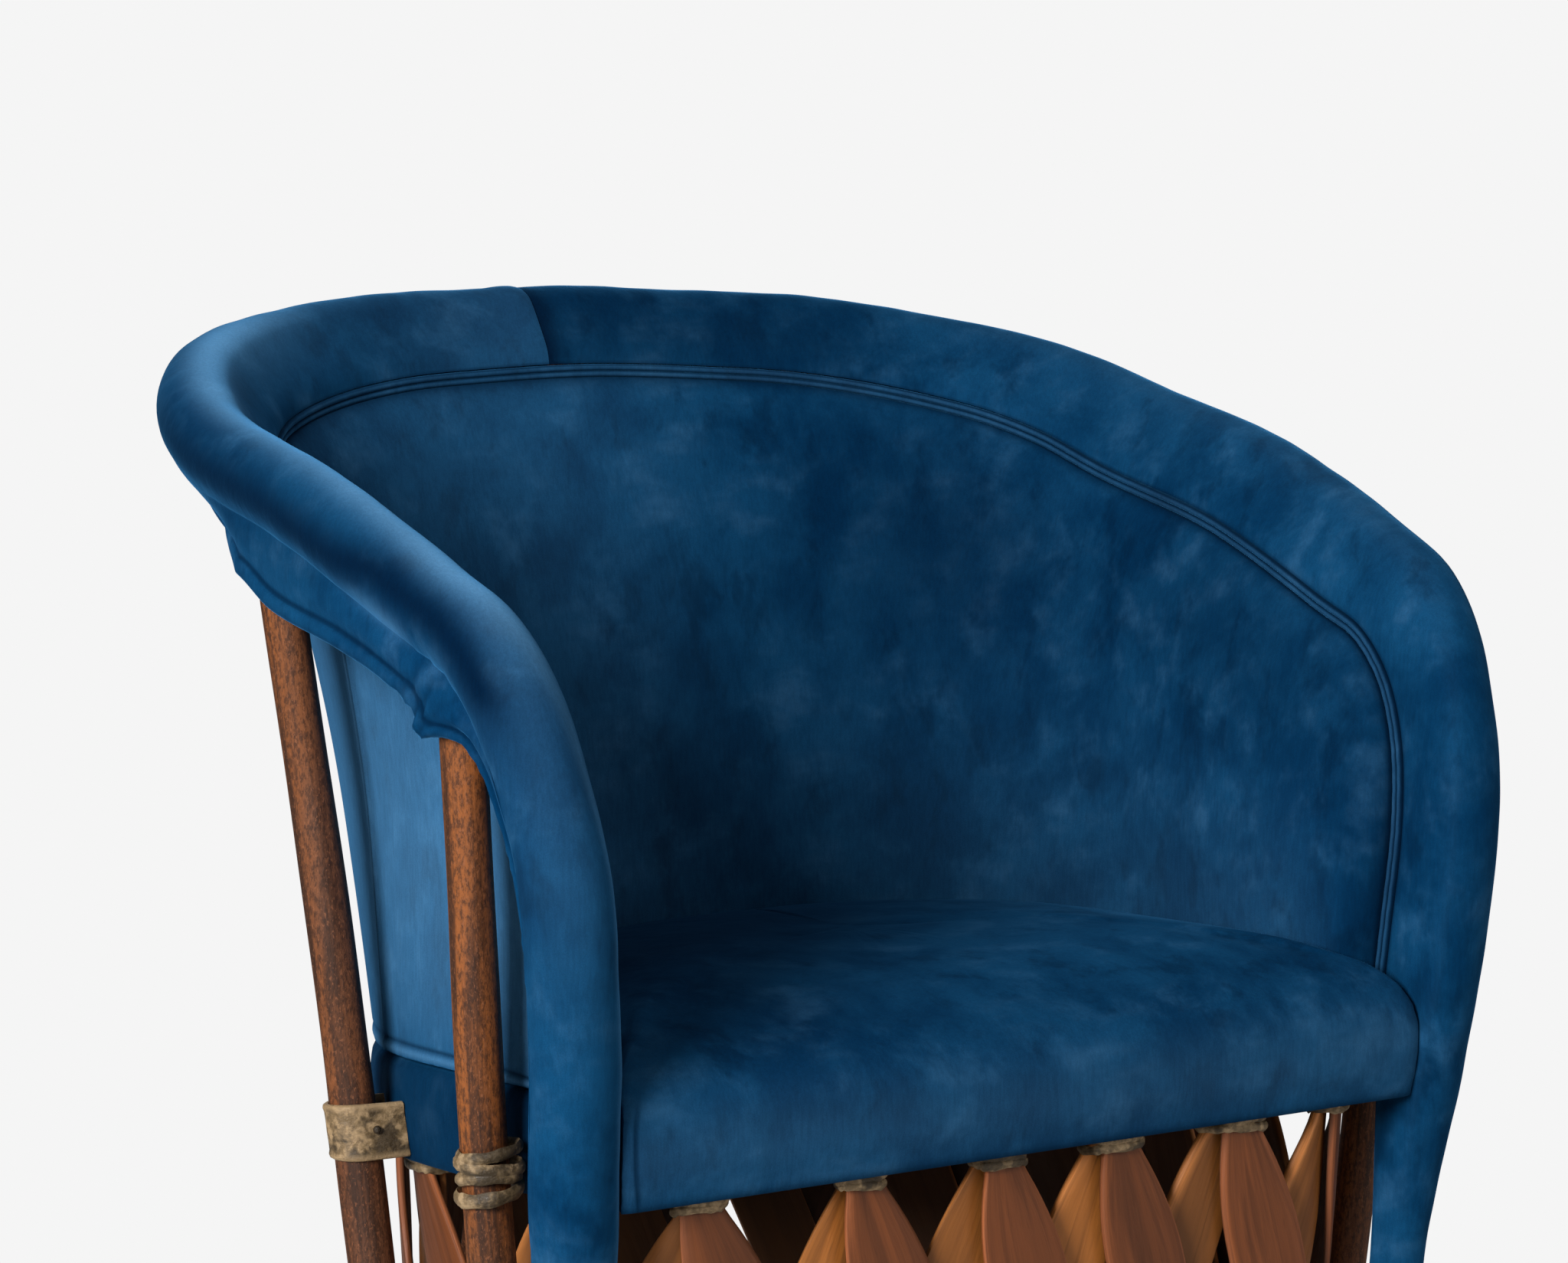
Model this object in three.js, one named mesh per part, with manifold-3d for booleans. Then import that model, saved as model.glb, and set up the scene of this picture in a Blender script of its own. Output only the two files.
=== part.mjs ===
import * as THREE from 'three';
import { mergeVertices } from 'three/addons/utils/BufferGeometryUtils.js';
import Module from 'manifold-3d';

// Equipale barrel chair: a bent rim pole in a padded velvet sleeve, a velvet back and seat,
// and a drum of crossed slats lashed with rawhide. Millimetres, +Z up, front towards -Y.

const wasm = await Module();
wasm.setup();

// General fits
const FIT_GAP = 0.3;

// Rim pole, from the middle of the back to where each arm bends down
const RIM_HALF_WIDTH = 303;
const RIM_BACK_DEPTH = 212;
const RIM_FRONT_DEPTH = 444;
const RIM_CENTRE_Y = 22;
const RIM_POWER = 2.5;
const RIM_HEIGHT = 813;
const RIM_DROP = 142;
const RIM_TURNS = [0, 25, 50, 72, 92, 108];
const RIM_DROP_SHARES = [0, 0.045, 0.155, 0.303, 0.532, 0.875];
const RIM_TURN_STEP = 12;
const RIM_STATIONS = 36;
const POLE_RADIUS = 13;
const POLE_SIDES = 8;

// The front post below each bend: its width as shares of the way from beside the seat out to the rim
const POST_STANDOFF = 11;
const POST_REACH = 240;
const POST_WIDTH_SHARES = [0.605, 0.493, 0.386, 0.267, 0.133, 0, -0.156];
const POST_REACH_SHARES = [0.785, 0.887, 0.955, 0.995, 0.985, 0.936, 0.903];
const POST_HEIGHT_SHARES = [0.826, 0.7935, 0.7474, 0.685, 0.5867, 0.492, 0.3875];

// Padded sleeve round the rim pole, by share of the way from the middle of the back to a foot
const SLEEVE_RADIUS = 21.7;
const SLEEVE_FOOT_RADIUS = 14.8;
const SLEEVE_WAY_SHARES = [0, 0.66, 0.7, 0.78, 1];
const SLEEVE_FULLNESS_SHARES = [1, 1, 1, 0, 0];
const SEAM_STATIONS = 1;
const ROLL_ANGLES = [0, 28, 56, 84, 112, 140];
const BORE_ANGLES = [180, 135, 90, 45, 0];
const SKIRT_THICKNESS = 3.2;
const SKIRT_DROP = 50;
const SKIRT_WAY_SHARES = [0, 0.346, 0.374, 0.43, 0.476, 0.495, 0.522, 0.556, 0.6, 1];
const SKIRT_DROP_SHARES = [0.92, 0.92, 1.04, 0.88, 0.8, 1, 0.54, 0.36, 0.24, 0.2];
const SKIRT_LEAN_WAY_SHARES = [0, 0.19, 0.25, 0.3, 0.345, 0.44, 0.46, 0.5, 0.54, 1];
const SKIRT_LEAN_SHARES = [0.09, 0.09, 0.52, 0.52, 0.04, 0, -0.06, -0.06, 0, 0];

// Piping along the inner edge of the sleeve, inward of and below the pole's centre
const PIPING_RADIUS = 3.5;
const PIPING_INWARD = 35;
const PIPING_BELOW = 27;
const PIPING_WAY_SHARES = [0, 0.46, 0.54, 0.6, 0.66, 0.78, 1];
const PIPING_INWARD_SHARES = [1, 1, 0.56, 0.51, 0.51, 0.43, 0.43];
const PIPING_BELOW_SHARES = [1, 1, 1, 1, 1, 0.3, 0.3];
const PIPING_STATIONS = 24;
const PIPING_SIDES = 5;
const LEG_THICKNESS = 13;
const LEG_WAY_SHARES = [0, 0.47, 0.56, 0.66, 0.78, 1];
const LEG_THICKNESS_SHARES = [1, 1, 0.72, 0.6, 0.12, 0.12];

// Seat outline: half an ellipse behind, straight sides and a straight front
const SEAT_LEVEL = 400;
const SEAT_HALF_WIDTH = 252.6;
const SEAT_BACK_DEPTH = 230.4;
const SEAT_CENTRE_Y = -62;
const SEAT_FRONT_Y = -240;
const SEAT_FRONT_HALF_WIDTH = 249;
const SEAT_CORNER_RADIUS = 14;
const PLAN_SPANS = [11, 4, 5, 7, 5, 4, 11];

// Seat cover, foam, deck and ring
const COVER_THICKNESS = 3;
const COVER_SIDE_HEIGHT = 49;
const COVER_CROWN_HEIGHT = 95;
const COVER_LEDGE = 28;
const COVER_FRONT_START_SHARE = 0.88;
const COVER_SIDE_INSET_SHARES = [0, 0, 0, 1, 1, 1.1, 1.6, 3, 5];
const COVER_SIDE_RISE_SHARES = [0, 0.27, 0.527, 0.53, 0.68, 0.785, 0.86, 0.925, 0.98];
const COVER_FRONT_INSET_SHARES = [0, -0.15, -0.15, -0.04, 0.23, 0.7, 1.55, 3, 5];
const COVER_FRONT_RISE_SHARES = [0, 0.215, 0.41, 0.515, 0.625, 0.73, 0.82, 0.9, 0.97];
const RING_RADIUS = 11;
const RING_SIDES = 6;
const DECK_THICKNESS = 8;
const POST_ROOM_STATIONS = [21, 28];

// The seat slopes back: what lies between the base and the arms rises in front of this line and falls behind it
const SEAT_SLOPE_SHARE = 0.052;
const SLOPE_LINE_Y = -30;
const SLOPE_FOOT_LEVEL = 60;
const SLOPE_ARM_LEVEL = 640;

// Back: an outer velvet panel and a padded inner panel, between the seat and the piping
const PANEL_THICKNESS = 4;
const PAD_THICKNESS = 18;
const PAD_EDGE_THICKNESS = 9;
const PAD_CLEARANCE = 1.2;
const PANEL_BOW = 6;
const PANEL_SEAT_GAP = 2;
const PANEL_ROWS = 4;
const PANEL_TOP_OUTSET = 5;
const PANEL_WAY_SHARES = [0, 0.483, 0.64];
const PANEL_SEAT_SHARES = [0, 0.2925, 0.319];

// Drum of crossed slats, tied in pairs
const SLAT_THICKNESS = 5;
const SLAT_CLEARANCE = 2.8;
const DRUM_CLEARANCE = 4.7;
const SLAT_TOP = 423;
const SLAT_WIDTH = 50;
const SLAT_TIP_WIDTH = 21;
const SLAT_RISE_SHARES = [1, 0.9, 0.8, 0.62, 0.42, 0.24, 0.14, 0];
const SLAT_FULLNESS_SHARES = [0, 0.1, 1, 1, 1, 1, 0.1, 0];
const SLAT_ACROSS_SHARES = [-0.5, 0, 0.5];
const DRUM_CORNER_RADIUS = 50;
const DRUM_CORNER_INSET = 12;
const TIE_SHARES = [
  0.033, 0.098, 0.162, 0.227, 0.312, 0.369, 0.431, 0.488,
  0.537, 0.591, 0.646, 0.71, 0.775, 0.84, 0.904, 0.969,
];
const TIE_HEIGHT = 11;
const TIE_HALF_WIDTH = 16;
const TIE_BAND = 2.5;
const TIE_CLEARANCE = 1.5;
const TIE_TOP_LEVEL = 398;
const TIE_FOOT_LEVEL = 47;
const LACE_RADIUS = 2;
const LACE_SIDES = 5;

// Base hoop in its velvet wrap
const BASE_HALF_WIDTH = 225;
const BASE_BACK_DEPTH = 194;
const BASE_CENTRE_Y = -62;
const BASE_FRONT_Y = -210;
const BASE_CORNER_RADIUS = 50;
const BASE_HOOP_RADIUS = 12;
const WRAP_THICKNESS = 2.5;
const WRAP_HEIGHT = 34;
const WRAP_INNER_HEIGHT = 28;
const WRAP_FLARE = 3;
const FOOT_LEVEL = 14;
const FOOT_CORNER_ANGLE = 38;

// Upright rods outside the back, from left to right by share of each outline, and their rawhide straps
const ROD_RADIUS = 11.6;
const ROD_HEAD_RADIUS = 10.6;
const ROD_SIDES = 10;
const ROD_STANDOFF = 22;
const ROD_SEAT_SHARES = [0.303, 0.221, 0.073, 0, -0.073, -0.221, -0.303];
const ROD_RIM_SHARES = [0.476, 0.34, 0.117, 0, -0.117, -0.34, -0.476];
const ROD_FOOT_SHARES = [0.306, 0.248, 0.073, 0, -0.073, -0.248, -0.306];
const STRAP_LEVEL = 402;
const STRAP_HEIGHT = 28;
const STRAP_THICKNESS = 2.4;
const STRAP_ARC_STEPS = 6;

const DEGREE = Math.PI / 180;

function material(color, roughness) {
  return new THREE.MeshStandardMaterial({ color, roughness, metalness: 0 });
}

const velvet = material(0x14507f, 0.85);
const innerVelvet = material(0x0c3c66, 0.85);
const bark = material(0x6b4430, 0.75);
const cedar = material(0x96522c, 0.6);
const paleCedar = material(0xa8672f, 0.6);
const rawhide = material(0xa8946a, 0.8);
const foam = material(0xd8cfae, 0.95);
const plywood = material(0xb99767, 0.8);

// A smooth value along named stops
function profile(stops, values) {
  const curve = new THREE.CubicInterpolant(stops, values, 1);
  return (place) => curve.evaluate(place)[0];
}

// A straight value between named stops
function ramp(stops, values) {
  const line = new THREE.LinearInterpolant(stops, values, 1);
  return (place) => line.evaluate(place)[0];
}

function mix(from, to, share) {
  return from + (to - from) * share;
}

// The rim pole's centre line

function rimPlan(turn) {
  const across = Math.sin(turn * DEGREE);
  const along = Math.cos(turn * DEGREE);
  const depth = along > 0 ? RIM_BACK_DEPTH : -RIM_FRONT_DEPTH;
  const x = RIM_HALF_WIDTH * across ** (2 / RIM_POWER);
  const y = RIM_CENTRE_Y + depth * Math.abs(along) ** (2 / RIM_POWER);
  return [x, y];
}

function postFoot() {
  const reach = BASE_CORNER_RADIUS + WRAP_FLARE + SLEEVE_FOOT_RADIUS + FIT_GAP;
  const angle = FOOT_CORNER_ANGLE * DEGREE;
  const x = BASE_HALF_WIDTH - BASE_CORNER_RADIUS + reach * Math.cos(angle);
  const y = BASE_FRONT_Y + BASE_CORNER_RADIUS - reach * Math.sin(angle);
  return new THREE.Vector3(x, y, FOOT_LEVEL);
}

function halfRim() {
  const drop = profile(RIM_TURNS, RIM_DROP_SHARES);
  const points = [];
  for (let turn = 0; turn <= RIM_TURNS.at(-1); turn += RIM_TURN_STEP) {
    const [x, y] = rimPlan(turn);
    points.push(new THREE.Vector3(x, y, RIM_HEIGHT - RIM_DROP * drop(turn)));
  }
  POST_HEIGHT_SHARES.forEach((share, index) => {
    const x = mix(SEAT_FRONT_HALF_WIDTH + POST_STANDOFF, RIM_HALF_WIDTH, POST_WIDTH_SHARES[index]);
    const y = -POST_REACH * POST_REACH_SHARES[index];
    points.push(new THREE.Vector3(x, y, RIM_HEIGHT * share));
  });
  points.push(postFoot());
  return points;
}

function wholeRim() {
  const right = halfRim();
  const left = right.slice(1).map((point) => new THREE.Vector3(-point.x, point.y, point.z));
  const curve = new THREE.CatmullRomCurve3([...left.reverse(), ...right], false, 'centripetal');
  curve.arcLengthDivisions = 2000;
  return curve;
}

const rim = wholeRim();

// A place on the rim, by share of the way from the middle of the back to a foot, negative to the left
function rimFrame(way) {
  const share = 0.5 + way / 2;
  const point = rim.getPointAt(share);
  const tangent = rim.getTangentAt(share);
  const inward = new THREE.Vector3(-point.x, Math.min(0, RIM_CENTRE_Y - point.y), 0);
  inward.addScaledVector(tangent, -inward.dot(tangent)).normalize();
  const down = new THREE.Vector3().crossVectors(tangent, inward);
  return { point, inward, down };
}

function place(frame, inward, below) {
  return frame.point.clone().addScaledVector(frame.inward, inward).addScaledVector(frame.down, below);
}

function stationWays(first, last) {
  return Array.from({ length: last - first + 1 }, (_, index) => (first + index) / RIM_STATIONS);
}

// Solids from rings of points

function flipped(faces) {
  return faces.map(([a, b, c]) => [a, c, b]);
}

function solid(positions, faces) {
  let volume = 0;
  for (const [a, b, c] of faces) {
    volume += positions[a].dot(new THREE.Vector3().crossVectors(positions[b], positions[c]));
  }
  const outward = volume < 0 ? flipped(faces) : faces;
  const geometry = new THREE.BufferGeometry();
  const numbers = positions.flatMap((point) => [point.x, point.y, point.z]);
  geometry.setAttribute('position', new THREE.Float32BufferAttribute(numbers, 3));
  geometry.setIndex(outward.flat());
  return geometry;
}

function capFaces(flatRing, start) {
  const faces = THREE.ShapeUtils.triangulateShape(flatRing, []);
  const moved = faces.map((face) => face.map((corner) => corner + start));
  return THREE.ShapeUtils.isClockWise(flatRing) ? flipped(moved) : moved;
}

// Rings joined in order, either closed on themselves or capped along their flat outlines
function loft(rings, flatRings) {
  const size = rings[0].length;
  const positions = rings.flat();
  const faces = [];
  const spans = flatRings ? rings.length - 1 : rings.length;
  for (let ring = 0; ring < spans; ring += 1) {
    const here = ring * size;
    const next = ((ring + 1) % rings.length) * size;
    for (let corner = 0; corner < size; corner += 1) {
      const beside = (corner + 1) % size;
      faces.push([here + corner, here + beside, next + beside]);
      faces.push([here + corner, next + beside, next + corner]);
    }
  }
  if (flatRings) {
    faces.push(...flipped(capFaces(flatRings[0], 0)));
    faces.push(...capFaces(flatRings[1], positions.length - size));
  }
  return solid(positions, faces);
}

function circle(radius, sides) {
  return Array.from({ length: sides }, (_, side) => {
    const angle = (side / sides) * 2 * Math.PI;
    return new THREE.Vector2(radius * Math.cos(angle), radius * Math.sin(angle));
  });
}

// A flat outline carried along the rim
function alongRim(outlineAt, ways) {
  const outlines = ways.map(outlineAt);
  const rings = ways.map((way, index) => {
    const frame = rimFrame(way);
    return outlines[index].map((corner) => place(frame, corner.x, corner.y));
  });
  return loft(rings, [outlines[0], outlines.at(-1)]);
}

// Seat, drum and base outlines in plan, from the middle of the back round by the left

function planPath({ halfWidth, backDepth, centreY, frontY, frontHalfWidth, cornerRadius }, inset) {
  const side = halfWidth - inset;
  const back = backDepth - inset;
  const front = frontY + inset;
  const wide = frontHalfWidth - inset;
  const corner = Math.max(cornerRadius - inset, FIT_GAP);
  const middle = (centreY + front) / 2;
  const path = new THREE.Path();
  path.absellipse(0, centreY, side, back, Math.PI / 2, Math.PI, false, 0);
  path.quadraticCurveTo(-side, middle, -wide, front + corner);
  path.absarc(-wide + corner, front + corner, corner, Math.PI, Math.PI * 1.5, false);
  path.absarc(wide - corner, front + corner, corner, Math.PI * 1.5, Math.PI * 2, false);
  path.quadraticCurveTo(side, middle, side, centreY);
  path.absellipse(0, centreY, side, back, 0, Math.PI / 2, false, 0);
  return path;
}

const SEAT = {
  halfWidth: SEAT_HALF_WIDTH,
  backDepth: SEAT_BACK_DEPTH,
  centreY: SEAT_CENTRE_Y,
  frontY: SEAT_FRONT_Y,
  frontHalfWidth: SEAT_FRONT_HALF_WIDTH,
  cornerRadius: SEAT_CORNER_RADIUS,
};

const DRUM_INSET = COVER_THICKNESS + DRUM_CLEARANCE;

const DRUM_TOP = {
  halfWidth: SEAT_HALF_WIDTH - DRUM_INSET,
  backDepth: SEAT_BACK_DEPTH - DRUM_INSET,
  centreY: SEAT_CENTRE_Y,
  frontY: SEAT_FRONT_Y + DRUM_INSET,
  frontHalfWidth: SEAT_FRONT_HALF_WIDTH - DRUM_INSET - DRUM_CORNER_INSET,
  cornerRadius: DRUM_CORNER_RADIUS,
};

const BASE = {
  halfWidth: BASE_HALF_WIDTH,
  backDepth: BASE_BACK_DEPTH,
  centreY: BASE_CENTRE_Y,
  frontY: BASE_FRONT_Y,
  frontHalfWidth: BASE_HALF_WIDTH,
  cornerRadius: BASE_CORNER_RADIUS,
};

const paths = new Map();

function planPoint(plan, inset, share) {
  const key = `${Object.values(plan)} ${inset}`;
  if (!paths.has(key)) paths.set(key, planPath(plan, inset));
  return paths.get(key).getPoint(((share % 1) + 1) % 1);
}

// A point a stated reach outside an outline, square to it
function planOutside(plan, reach, share) {
  const around = ((share % 1) + 1) % 1;
  const path = planPath(plan, 0);
  const along = path.getTangent(around);
  return path.getPoint(around).add(new THREE.Vector2(along.y, -along.x).multiplyScalar(reach));
}

// Stations round an outline, close together where it bends sharply
function planShares(plan) {
  const lengths = [0, ...planPath(plan, 0).getCurveLengths()];
  const whole = lengths.at(-1);
  return PLAN_SPANS.flatMap((spans, part) => {
    const [start, end] = [lengths[part] / whole, lengths[part + 1] / whole];
    return Array.from({ length: spans }, (_, step) => mix(start, end, step / spans));
  });
}

const seatShares = planShares(SEAT);

function raised(point, level) {
  return new THREE.Vector3(point.x, point.y, level);
}

// A closed outline of insets and levels carried round a plan
function roundPlan(plan, outline) {
  const rings = planShares(plan).map((share) => {
    return outline.map(([inset, level]) => raised(planPoint(plan, inset, share), level));
  });
  return loft(rings, null);
}

function tubeOutline(inset, level, radius) {
  return circle(radius, RING_SIDES).map((corner) => [inset + corner.x, level + corner.y]);
}

// Joining and cutting

function toManifold(geometry) {
  const bare = geometry.clone();
  bare.deleteAttribute('normal');
  bare.deleteAttribute('uv');
  const merged = mergeVertices(bare);
  const mesh = new wasm.Mesh({
    numProp: 3,
    vertProperties: new Float32Array(merged.attributes.position.array),
    triVerts: new Uint32Array(merged.index.array),
  });
  return new wasm.Manifold(mesh);
}

function fromManifold(manifold) {
  const mesh = manifold.getMesh();
  const geometry = new THREE.BufferGeometry();
  geometry.setAttribute('position', new THREE.BufferAttribute(mesh.vertProperties, 3));
  geometry.setIndex(new THREE.BufferAttribute(mesh.triVerts, 1));
  return geometry;
}

function cut(geometry, cutters) {
  let result = toManifold(geometry);
  for (const cutter of cutters) result = result.subtract(toManifold(cutter));
  return fromManifold(result);
}

function join(geometries) {
  let result = toManifold(geometries[0]);
  for (const geometry of geometries.slice(1)) result = result.add(toManifold(geometry));
  return fromManifold(result);
}

// Sleeve section, inward across the page and below down it

const sleeveFullness = profile(SLEEVE_WAY_SHARES, SLEEVE_FULLNESS_SHARES);
const skirtDropShare = profile(SKIRT_WAY_SHARES, SKIRT_DROP_SHARES);
const skirtLeanShare = ramp(SKIRT_LEAN_WAY_SHARES, SKIRT_LEAN_SHARES);
const pipingInwardShare = profile(PIPING_WAY_SHARES, PIPING_INWARD_SHARES);
const pipingBelowShare = profile(PIPING_WAY_SHARES, PIPING_BELOW_SHARES);
const legThicknessShare = profile(LEG_WAY_SHARES, LEG_THICKNESS_SHARES);

const BORE_RADIUS = POLE_RADIUS + FIT_GAP;

function sleeveRadius(way) {
  const fullness = THREE.MathUtils.clamp(sleeveFullness(Math.abs(way)), 0, 1);
  return mix(SLEEVE_FOOT_RADIUS, SLEEVE_RADIUS, fullness);
}

function pipingPlace(way) {
  const inward = PIPING_INWARD * pipingInwardShare(Math.abs(way));
  const below = PIPING_BELOW * pipingBelowShare(Math.abs(way));
  return { inward, below };
}

function onCircle(radius, angle) {
  return new THREE.Vector2(-radius * Math.cos(angle * DEGREE), -radius * Math.sin(angle * DEGREE));
}

function sleeveSection(way) {
  const radius = sleeveRadius(way);
  const piping = pipingPlace(way);
  const drop = SKIRT_DROP * skirtDropShare(Math.abs(way));
  const lean = drop * skirtLeanShare(Math.abs(way));
  const leg = LEG_THICKNESS * legThicknessShare(Math.abs(way));
  const legEnd = piping.below - PIPING_RADIUS - FIT_GAP;
  const legOuter = piping.inward - FIT_GAP;
  const skirtInner = BORE_RADIUS + FIT_GAP;
  const skirtOuter = Math.min(skirtInner + SKIRT_THICKNESS, radius);
  const knee = Math.min(skirtInner, drop / 2);
  return [
    new THREE.Vector2(lean - skirtOuter, drop),
    new THREE.Vector2(-skirtOuter, knee),
    ...ROLL_ANGLES.map((angle) => onCircle(radius, angle)),
    new THREE.Vector2(mix(radius, legOuter, 0.5), legEnd / 3),
    new THREE.Vector2(legOuter, legEnd),
    new THREE.Vector2(legOuter - leg, legEnd),
    ...BORE_ANGLES.map((angle) => onCircle(BORE_RADIUS, angle)),
    new THREE.Vector2(-skirtInner, knee),
    new THREE.Vector2(lean - skirtInner, drop),
  ];
}

// The seam between the two sleeves is left of the middle of the back
const SEAM_GAP_SHARE = (2 * FIT_GAP) / rim.getLength();

function leftSleeve() {
  return alongRim(sleeveSection, stationWays(-RIM_STATIONS, -SEAM_STATIONS));
}

function rightSleeve() {
  const start = SEAM_GAP_SHARE - SEAM_STATIONS / RIM_STATIONS;
  return alongRim(sleeveSection, [start, ...stationWays(1 - SEAM_STATIONS, RIM_STATIONS)]);
}

function rimTube(radius) {
  return alongRim(() => circle(radius, POLE_SIDES), stationWays(-RIM_STATIONS, RIM_STATIONS));
}

function backPiping() {
  const section = (way) => {
    const piping = pipingPlace(way);
    const middle = new THREE.Vector2(piping.inward, piping.below);
    return circle(PIPING_RADIUS, PIPING_SIDES).map((corner) => corner.add(middle));
  };
  return alongRim(section, stationWays(-PIPING_STATIONS, PIPING_STATIONS));
}

// The room that a post, its sleeve and the end of its piping take from the seat
function postRooms(grow) {
  const section = (way) => {
    const reach = sleeveRadius(way) + grow;
    const back = PIPING_BELOW + PIPING_RADIUS + grow;
    return [
      ...ROLL_ANGLES.map((angle) => onCircle(reach, angle)),
      new THREE.Vector2(reach, 0),
      new THREE.Vector2(reach, back),
      new THREE.Vector2(-reach, back),
    ];
  };
  const [first, last] = POST_ROOM_STATIONS;
  return [stationWays(first, last), stationWays(-last, -first)].map((ways) => alongRim(section, ways));
}

// Back panels

const panelSeatShare = ramp(PANEL_WAY_SHARES, PANEL_SEAT_SHARES);

function panelPoint(way, rise, insetBelow, insetAbove) {
  const piping = pipingPlace(way);
  const frame = rimFrame(way);
  const edge = piping.below + PIPING_RADIUS + FIT_GAP;
  const top = place(frame, piping.inward - PANEL_TOP_OUTSET + insetAbove, edge);
  const share = -Math.sign(way) * panelSeatShare(Math.abs(way));
  const bottomLevel = SEAT_LEVEL + COVER_SIDE_HEIGHT + PANEL_SEAT_GAP;
  const bottom = raised(planPoint(SEAT, insetBelow, share), bottomLevel);
  const inward = frame.inward.clone().setZ(0).normalize();
  return bottom.lerp(top, rise).addScaledVector(inward, PANEL_BOW * Math.sin(Math.PI * rise));
}

// A panel between two faces, each given by its insets at the seat and at the rim
function panel(outer, inner) {
  const rises = Array.from({ length: PANEL_ROWS + 1 }, (_, row) => row / PANEL_ROWS);
  const rings = stationWays(-PIPING_STATIONS, PIPING_STATIONS).map((way) => {
    const front = rises.map((rise) => panelPoint(way, rise, ...inner));
    const back = rises.map((rise) => panelPoint(way, rise, ...outer));
    return [...back, ...front.reverse()];
  });
  const flat = rises.map((rise) => new THREE.Vector2(0, rise));
  const flatFront = rises.map((rise) => new THREE.Vector2(1, rise)).reverse();
  const flatRing = [...flat, ...flatFront];
  return loft(rings, [flatRing, flatRing]);
}

const PAD_OUTER = PANEL_THICKNESS + PAD_CLEARANCE;

function outerPanel() {
  return panel([0, 0], [PANEL_THICKNESS, PANEL_THICKNESS]);
}

function innerPad() {
  return panel([PAD_OUTER, PAD_OUTER], [PAD_OUTER + PAD_THICKNESS, PAD_OUTER + PAD_EDGE_THICKNESS]);
}

// Seat cushion: rings closed by a flat floor below and by a peak above

function frontness(point) {
  const reach = (SEAT_CENTRE_Y - point.y) / (SEAT_CENTRE_Y - SEAT_FRONT_Y);
  return THREE.MathUtils.smoothstep(reach, COVER_FRONT_START_SHARE, 1);
}

function cushion(shrink) {
  const rings = COVER_SIDE_INSET_SHARES.map((sideShare, index) => {
    return seatShares.map((share) => {
      const front = frontness(planPoint(SEAT, 0, share));
      const inset = COVER_LEDGE * mix(sideShare, COVER_FRONT_INSET_SHARES[index], front) + shrink;
      const rise = mix(COVER_SIDE_RISE_SHARES[index], COVER_FRONT_RISE_SHARES[index], front);
      return raised(planPoint(SEAT, inset, share), SEAT_LEVEL + COVER_CROWN_HEIGHT * rise - shrink);
    });
  });
  const size = seatShares.length;
  const crown = new THREE.Vector3(0, SEAT_CENTRE_Y, SEAT_LEVEL + COVER_CROWN_HEIGHT - shrink);
  const positions = [...rings.flat(), crown];
  const peak = positions.length - 1;
  const top = peak - size;
  const faces = [];
  for (let step = 0; step < size; step += 1) {
    const beside = (step + 1) % size;
    for (let start = 0; start < top; start += size) {
      faces.push([start + step, start + beside, start + beside + size]);
      faces.push([start + step, start + beside + size, start + step + size]);
    }
    faces.push([top + step, top + beside, peak]);
  }
  faces.push(...flipped(capFaces(rings[0].map((point) => new THREE.Vector2(point.x, point.y)), 0)));
  return solid(positions, faces);
}

function seatCover() {
  const hollow = cut(cushion(COVER_THICKNESS), postRooms(FIT_GAP + COVER_THICKNESS));
  return cut(cushion(0), [...postRooms(FIT_GAP), hollow]);
}

const RING_HALF_HEIGHT = RING_RADIUS * Math.sin(Math.PI / 3);
const RING_LEVEL = TIE_TOP_LEVEL + TIE_HEIGHT / 2 + FIT_GAP + RING_HALF_HEIGHT;
const DECK_LEVEL = RING_LEVEL + RING_HALF_HEIGHT + FIT_GAP;
const FOAM_LEVEL = DECK_LEVEL + DECK_THICKNESS + FIT_GAP;
const INSIDE_COVER = COVER_THICKNESS + FIT_GAP;
const PAIR_DEPTH = 2 * SLAT_THICKNESS + SLAT_CLEARANCE;

function seatDeck() {
  const rings = [DECK_LEVEL, DECK_LEVEL + DECK_THICKNESS].map((level) => {
    return planShares(DRUM_TOP).map((share) => raised(planPoint(DRUM_TOP, PAIR_DEPTH + SLAT_CLEARANCE, share), level));
  });
  const flat = rings[0].map((point) => new THREE.Vector2(point.x, point.y));
  return loft(rings, [flat, flat]);
}

function seatFoam() {
  const whole = toManifold(cut(cushion(INSIDE_COVER), postRooms(FIT_GAP + INSIDE_COVER)));
  return fromManifold(whole.trimByPlane([0, 0, 1], FOAM_LEVEL));
}

// Slats

const SLAT_FOOT_LEVEL = WRAP_THICKNESS + FIT_GAP;
const DRUM_FOOT_INSET = WRAP_THICKNESS + TIE_CLEARANCE;
const drumLength = planPath(DRUM_TOP, 0).getLength();

function drumPoint(share, level, depth) {
  const rise = (level - SLAT_FOOT_LEVEL) / (SLAT_TOP - SLAT_FOOT_LEVEL);
  const top = planPoint(DRUM_TOP, depth, share);
  const foot = planPoint(BASE, DRUM_FOOT_INSET + depth, share);
  return raised(foot.lerp(top, rise), level);
}

function tieShare(index) {
  const count = TIE_SHARES.length;
  const lap = Math.floor(index / count);
  return TIE_SHARES[index - lap * count] + lap;
}

function footTieShare(index) {
  return (tieShare(index + 1) + tieShare(index + 2)) / 2;
}

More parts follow.
